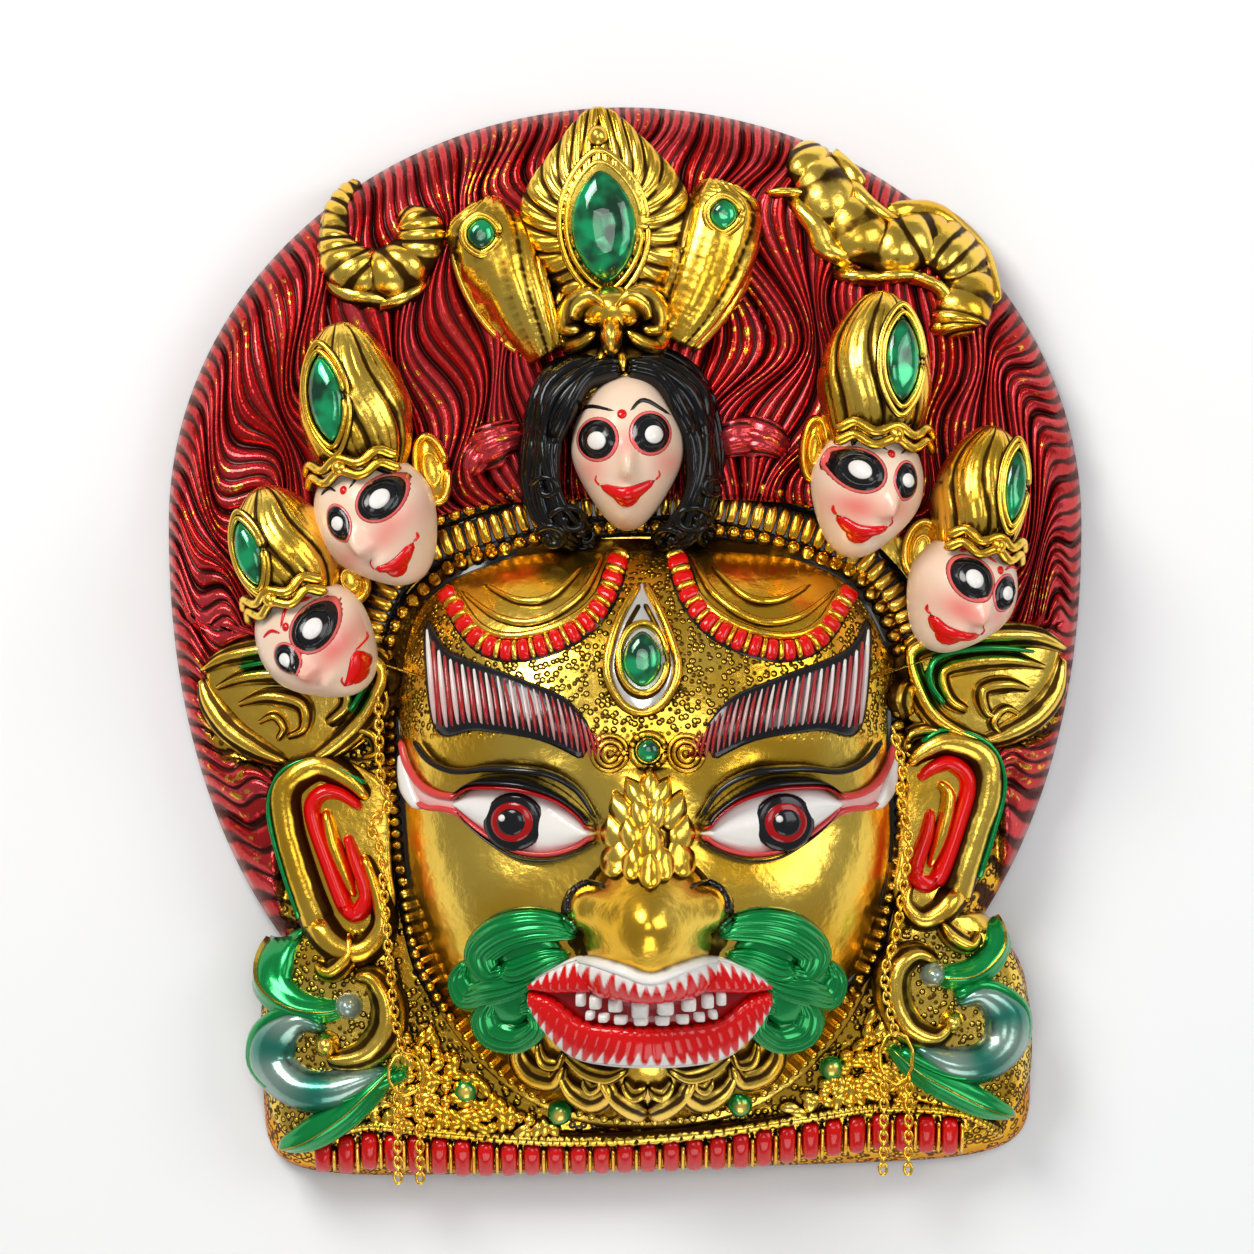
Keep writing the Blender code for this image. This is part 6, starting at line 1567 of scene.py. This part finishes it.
def crown_of(colours):
    """The crown's feathered leaves, its lion mask and the stones in their bezels."""
    bed = Bed((-90.0, 95.0), (70.0, 222.0), 0.7, crown_height)
    gold = Work(bed)
    x0, y0 = CROWN_LEAF["at"]

    def leaf(u, v):
        turn, reach = u * math.pi, (v + 1.0) / 2.0
        share = np.minimum(reach * 1.25, 1.0)
        under = np.clip((reach - 0.8) / 0.2, 0.0, 1.0)
        a = CROWN_LEAF["half"][0] * np.sin(turn) * share
        b = CROWN_LEAF["half"][1] * np.cos(turn) * share
        w = b / CROWN_LEAF["half"][1]
        a = a * (1.0 - 0.42 * smooth_step(0.1, 1.0, w) - 0.30 * smooth_step(-0.4, -1.0, w))
        feather = np.abs(np.sin(turn * 11.0 + np.sign(turn) * (share - 0.5) * 9.0)) ** 0.42
        far = smooth_step(0.42, 0.55, share)
        fine = 0.5 + 0.5 * np.cos(turn * 66.0 + np.sign(turn) * (share - 0.5) * 36.0)
        a, b = a * (1.0 - 0.02 * (1.0 - feather) * far), b * (1.0 - 0.02 * (1.0 - feather) * far)
        turn0 = math.radians(CROWN_LEAF["roll"])
        x, y = x0 + a * math.cos(turn0) - b * math.sin(turn0), y0 + a * math.sin(turn0) + b * math.cos(turn0)
        high = 5.0 + pad(share * 0.94, CROWN_LEAF["half"][2])
        z = CROWN_SEAT + high - far * (1.6 * (1.0 - feather) + 0.5 * fine)
        z = np.where(under > 0.0, CROWN_SEAT - 2.0 * under, z)
        x, y = x0 + (x - x0) * (1.0 - under), y0 + (y - y0) * (1.0 - under)
        # The groove value between the feathers is painted shade.
        return x, y, z, np.clip((1.0 - feather) * far * 0.9 + fine * 0.2 * far, 0.0, 1.0), 0.0 * u

    gold.sheet(396, 60, leaf)
    for one, two in PETAL_EDGES:
        gold.ruled(traced(one), traced(two), 6.0, sides=48, along=60, sink=8.0, power=0.4, carve=veined)
        for edge in (one, two):
            gold.roll([(*p, 1.8) for p in traced(edge)], 3.4, sides=8, sink=6.0, lift=2.0)
    lx, ly = traced(((612, 322, 1),))[0][:2]
    gold.dome(lx, ly + 4.0, (13.0, 9.0), 7.0, spokes=32, rings=12)
    gold.dome(lx, ly - 5.0, (4.6, 9.0), 12.0, spokes=20, rings=10)
    gold.dome(*traced(((615, 361, 1),))[0][:2], (5.4, 4.6), 6.0, spokes=20, rings=10, lift=SNOUT_LIFT)
    for side in (-1.0, 1.0):
        for path in (((4, 6, 1.6), (10, 10, 3.0), (17, 5, 3.4), (17, -3, 3.0), (11, -4, 1.8)),
                     ((5, -4, 1.6), (11, -8, 3.0), (18, -9, 3.0), (20, -2, 2.0)),
                     ((2, -14, 1.4), (9, -13, 2.6), (14, -16, 2.4), (12, -21, 1.6)),
                     ((6, 13, 1.4), (13, 15, 2.6), (20, 12, 2.6), (23, 5, 1.6))):
            gold.roll([(lx + side * u, ly + v, w) for u, v, w in path], 5.0, sides=12, steps=6, sink=6.0,
                      carve=ribbed(2, 0.2))
    gold.roll(traced(((584, 353, 3), (596, 372, 6), (615, 381, 7), (634, 371, 6), (645, 351, 3))), 4.0, sides=12, sink=6.0,
              lift=SNOUT_LIFT - 3.0)
    gold.dome(*traced(((598, 140, 1),))[0][:2], (4.4, 4.4), 5.0, spokes=20, rings=10)
    for side in (-1.0, 1.0):
        gold.dome(lx + side * 6.0, ly - 1.0, (2.6, 1.9), 12.0, side * 0.3, spokes=16, rings=8)
        gold.roll([(lx + side * u, ly + v, w) for u, v, w in ((1, 2, 0.8), (5, 5, 1.8), (10, 3, 1.4), (12, -1, 0.6))], 12.5,
                  sides=10, sink=4.0)
        gold.dome(lx + side * 3.6, ly - 12.5, (2.6, 2.2), 10.0, spokes=14, rings=7)
    stones = Work()
    seat = CROWN_SEAT + 4.0 + CROWN_LEAF["half"][2] - 2.0
    x, y = traced(((604, 228.5, 1),))[0][:2]
    set_in(gold, stones, head_frame((x, y), seat, CROWN_LEAF["roll"], 0.0), (13.4, 22.8), 7.0)
    for x, y, radius in traced(((482, 237, 14.5), (723, 217, 14))):
        set_in(gold, stones, head_frame((x, y), CROWN_SEAT + 18.5, 0.0, 0.0), (radius, radius * 1.08), 4.2)
    gold.finish("crown_gilt", material_of("gilt"), "gilt_crown", ("crown",))
    stones.finish("crown_glass", material_of("glass"), "green_stone",
                  ("stone_crown", "stone_petal_left", "stone_petal_right"))


def face_stones():
    """The stones of the forehead drop and of the setting over the nose."""
    stones = Work()
    x, y = traced(((642, 660, 1),))[0][:2]
    high = float(FRONT(np.array([x]), np.array([y]))[0])
    stones.matrix = head_frame((x, y), high + 2.5, 0.0, 0.0)
    stones.ball((7.8, 11.6, 5.0), stone_form, 24, 12)
    x, y = traced(((648, 748, 1),))[0][:2]
    high = float(FRONT(np.array([x]), np.array([y]))[0])
    stones.matrix = head_frame((x, y), high + 2.0, 0.0, 0.0)
    stones.ball((4.8, 4.8, 4.4), stone_form, 20, 10)
    stones.finish("face_glass", material_of("glass"), "green_stone", ("stone_forehead", "stone_root"))


def link(work, at, along, up, long, wide, thick):
    """One oval wire link about a place, lying in the plane of along and up."""
    along = Vector(along).normalized()
    up = Vector(up).normalized()
    side = along.cross(up)

    def place(u, v):
        turn, round_turn = u * math.pi, v * math.pi
        ca, sa = np.cos(turn), np.sin(turn)
        out = thick * np.cos(round_turn)
        high = thick * np.sin(round_turn)
        a, b = (long + out) * ca, (wide + out) * sa
        return tuple(at[i] + along[i] * a + up[i] * b + side[i] * high for i in range(3)) + (0.1 + 0.0 * u, 0.0 * u)

    work.sheet(10, 6, place)


def chain_run(work, path, wire, height, pitch=3.3):
    """A run of links along millimetre points, every other one turned."""
    places = spaced(path, pitch)
    for number, (x, y, turn) in enumerate(places):
        along = (math.cos(turn), math.sin(turn), 0.0)
        up = (-math.sin(turn), math.cos(turn), 0.0) if number % 2 else (0.0, 0.0, 1.0)
        z = float(height[min(number, len(height) - 1)]) if np.ndim(height) else height
        link(work, (x, y, z), along, up, pitch * 0.72, 1.55, wire / 2.0)


def chains_of(sizes):
    """The chains that hang from the ears, with their rings and doubled ends."""
    wire = sizes.wire / MM
    for side, path in CHAINS.items():
        work = Work()
        drop = traced(path)
        places = spaced(drop, 3.3)
        own = np.array([max(float(FRONT(np.array([x + a]), np.array([y + b]))[0])
                            for a in (-4.0, 0.0, 4.0) for b in (-4.0, 0.0, 4.0)) for x, y, _ in places])
        own = np.convolve(np.pad(own, 3, mode="edge"), np.ones(7) / 7.0, mode="valid") + 11.0
        chain_run(work, drop, wire, own)
        (cx, cy), across, up, ends, foot = RINGS[side][0][:2], *RINGS[side][1:]
        x, y = traced(((cx, cy, 1),))[0][:2]
        z = float(own[-1])
        link(work, (x, y, z), (0.0, 1.0, 0.0), (1.0, 0.0, 0.0), up * 0.4, across * 0.4, wire * 0.6)
        for end in ends:
            a = traced(((end, cy + up - 4), (end, foot)))
            count = len(spaced(a, 3.3))
            chain_run(work, a, wire, np.linspace(z, max(z - 14.0, 20.0), count))
        work.finish(f"links_{side}", material_of("gilt"), "chain_wire", (f"chain_{side}",))


# Operators, one for each group of pieces, and the stage

class MASK_OT_sheet(bpy.types.Operator):
    """Makes the halo of strands and the collar"""
    bl_idname = "mask.sheet"
    bl_label = "Halo and collar"

    def execute(self, context):
        work = Work()
        halo_shell(work, context.scene.mask_sizes, context.scene.mask_colours)
        work.finish("halo_and_collar", material_of("lacquer"), "gilt_sheet", ("mask_sheet",))
        tufts = Work().using(context.scene.mask_colours.hair_crimson)
        for path in TUFTS:
            tufts.roll(traced(path), 9.0, sides=40, steps=10, carve=ribbed(6, 0.3))
        for v in tufts.shape.verts:
            v[tufts.paint] = (*v[tufts.paint][:3], 0.0)
        tufts.finish("tufts", material_of("lacquer"))
        return {"FINISHED"}


TUFTS = (((466, 474, 8), (482, 452, 20), (506, 442, 22), (528, 452, 12)),
         ((722, 456, 10), (740, 440, 21), (764, 440, 22), (784, 456, 12)))


class MASK_OT_face(bpy.types.Operator):
    """Makes the great face and its ornaments"""
    bl_idname = "mask.face"
    bl_label = "Great face"

    def execute(self, context):
        work = Work()
        face_shell(work)
        work.finish("great_face", material_of("dotted"))
        gold, paint, foil = Work(), Work(), Work()
        face_ornaments(gold, paint, foil, context.scene.mask_colours)
        foil.finish("face_foil", material_of("foil"))
        gold.finish("face_gilt", material_of("gilt"))
        paint.finish("face_paint", material_of("enamel"))
        face_stones()
        return {"FINISHED"}


class MASK_OT_sides(bpy.types.Operator):
    """Makes the ears, crests, shoulder scrolls, collar ornaments and serpents"""
    bl_idname = "mask.sides"
    bl_label = "Ears, scrolls and collar"

    def execute(self, context):
        colours = context.scene.mask_colours
        gold, paint, foil = Work(SIDE_BED), Work(SIDE_BED), Work(SIDE_BED)
        grounds = sides_of(gold, paint, foil, colours)
        collar_of(gold, paint, foil, colours)
        gold.bed = FRONT
        serpents_of(gold, colours)
        for v in list(gold.shape.verts)[grounds:]:
            v[gold.paint] = (1.0, 1.0, 1.0, 0.0)
        gold.finish("sides_gilt", material_of("dotted"))
        paint.finish("sides_red", material_of("enamel"))
        foil.finish("sides_foil", material_of("foil"))
        return {"FINISHED"}


class MASK_OT_heads(bpy.types.Operator):
    """Makes the five small heads"""
    bl_idname = "mask.heads"
    bl_label = "Small heads"

    def execute(self, context):
        for name in HEADS:
            side_head(name, context.scene.mask_colours)
        centre_head(context.scene.mask_colours)
        return {"FINISHED"}


class MASK_OT_crown(bpy.types.Operator):
    """Makes the crown and its stones"""
    bl_idname = "mask.crown"
    bl_label = "Crown"

    def execute(self, context):
        crown_of(context.scene.mask_colours)
        return {"FINISHED"}


class MASK_OT_chains(bpy.types.Operator):
    """Makes the chains of links"""
    bl_idname = "mask.chains"
    bl_label = "Chains"

    def execute(self, context):
        chains_of(context.scene.mask_sizes)
        return {"FINISHED"}


class MASK_OT_stage(bpy.types.Operator):
    """Makes the pale floor, the camera over the mask and the soft lights"""
    bl_idname = "mask.stage"
    bl_label = "Stage"

    def execute(self, context):
        scene = context.scene
        mesh = bpy.data.meshes.new("floor")
        shape = bmesh.new()
        bmesh.ops.create_grid(shape, x_segments=2, y_segments=2, size=4.0)
        shape.to_mesh(mesh)
        shape.free()
        floor = bpy.data.objects.new("floor", mesh)
        scene.collection.objects.link(floor)
        finish = Finish("floor", Roughness=0.9)
        finish.drive("Base Color", finish.blend(finish.noise(0.004), (0.84, 0.84, 0.84), (0.87, 0.87, 0.87)))
        mesh.materials.append(finish.material)
        camera = bpy.data.objects.new("camera", bpy.data.cameras.new("camera"))
        scene.collection.objects.link(camera)
        camera.data.sensor_width = 36.0
        away = 3.0
        side = PHOTO_SIDE * PHOTO_PITCH * MM
        camera.data.lens = 36.0 * (away - 0.03) / side
        camera.location = (0.8 * MM, 5.8 * MM, away)
        camera.data.clip_end = 20.0
        scene.camera = camera
        for name, place, size, watts, colour in (
                ("key", (-0.75, 0.95, 1.15), 0.7, 21.0, (1.0, 0.98, 0.95)),
                ("fill", (1.1, 0.35, 1.0), 0.9, 8.0, (0.96, 0.98, 1.0)),
                ("foot", (0.1, -1.25, 0.7), 0.8, 5.0, (1.0, 1.0, 1.0)),
                ("top", (0.0, 0.1, 1.7), 0.5, 3.0, (1.0, 1.0, 1.0))):
            light = bpy.data.lights.new(name, "AREA")
            light.shape, light.size, light.energy, light.color = "SQUARE", size, watts, colour
            lamp = bpy.data.objects.new(name, light)
            lamp.location = place
            lamp.rotation_euler = (-Vector(place)).to_track_quat("-Z", "Y").to_euler()
            scene.collection.objects.link(lamp)
        world = bpy.data.worlds.new("studio")
        world.use_nodes = True
        world.node_tree.nodes["Background"].inputs["Color"].default_value = (0.9, 0.92, 0.95, 1.0)
        world.node_tree.nodes["Background"].inputs["Strength"].default_value = 0.30
        scene.world = world
        scene.view_settings.view_transform = "Standard"
        return {"FINISHED"}


OPERATORS = (MASK_OT_sheet, MASK_OT_face, MASK_OT_sides, MASK_OT_heads, MASK_OT_crown, MASK_OT_chains, MASK_OT_stage)


class MASK_PT_panel(bpy.types.Panel):
    """Lists the mask's pieces, sizes and colours"""
    bl_idname = "MASK_PT_panel"
    bl_label = "Metal wall mask"
    bl_space_type = "VIEW_3D"
    bl_region_type = "UI"
    bl_category = "Mask"

    def draw(self, context):
        for kind in OPERATORS:
            self.layout.operator(kind.bl_idname)
        for group in (context.scene.mask_sizes, context.scene.mask_colours):
            for name in group.bl_rna.properties.keys():
                if name not in ("rna_type", "name"):
                    self.layout.prop(group, name)


CLASSES = (MaskColours, MaskSizes, *OPERATORS, MASK_PT_panel)


def register():
    for kind in CLASSES:
        bpy.utils.register_class(kind)
    bpy.types.Scene.mask_colours = bpy.props.PointerProperty(type=MaskColours)
    bpy.types.Scene.mask_sizes = bpy.props.PointerProperty(type=MaskSizes)


def unregister():
    del bpy.types.Scene.mask_sizes
    del bpy.types.Scene.mask_colours
    for kind in reversed(CLASSES):
        bpy.utils.unregister_class(kind)


def main():
    register()
    for kind in OPERATORS:
        group, name = kind.bl_idname.split(".")
        getattr(getattr(bpy.ops, group), name)()
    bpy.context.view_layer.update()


if __name__ == "__main__":
    main()
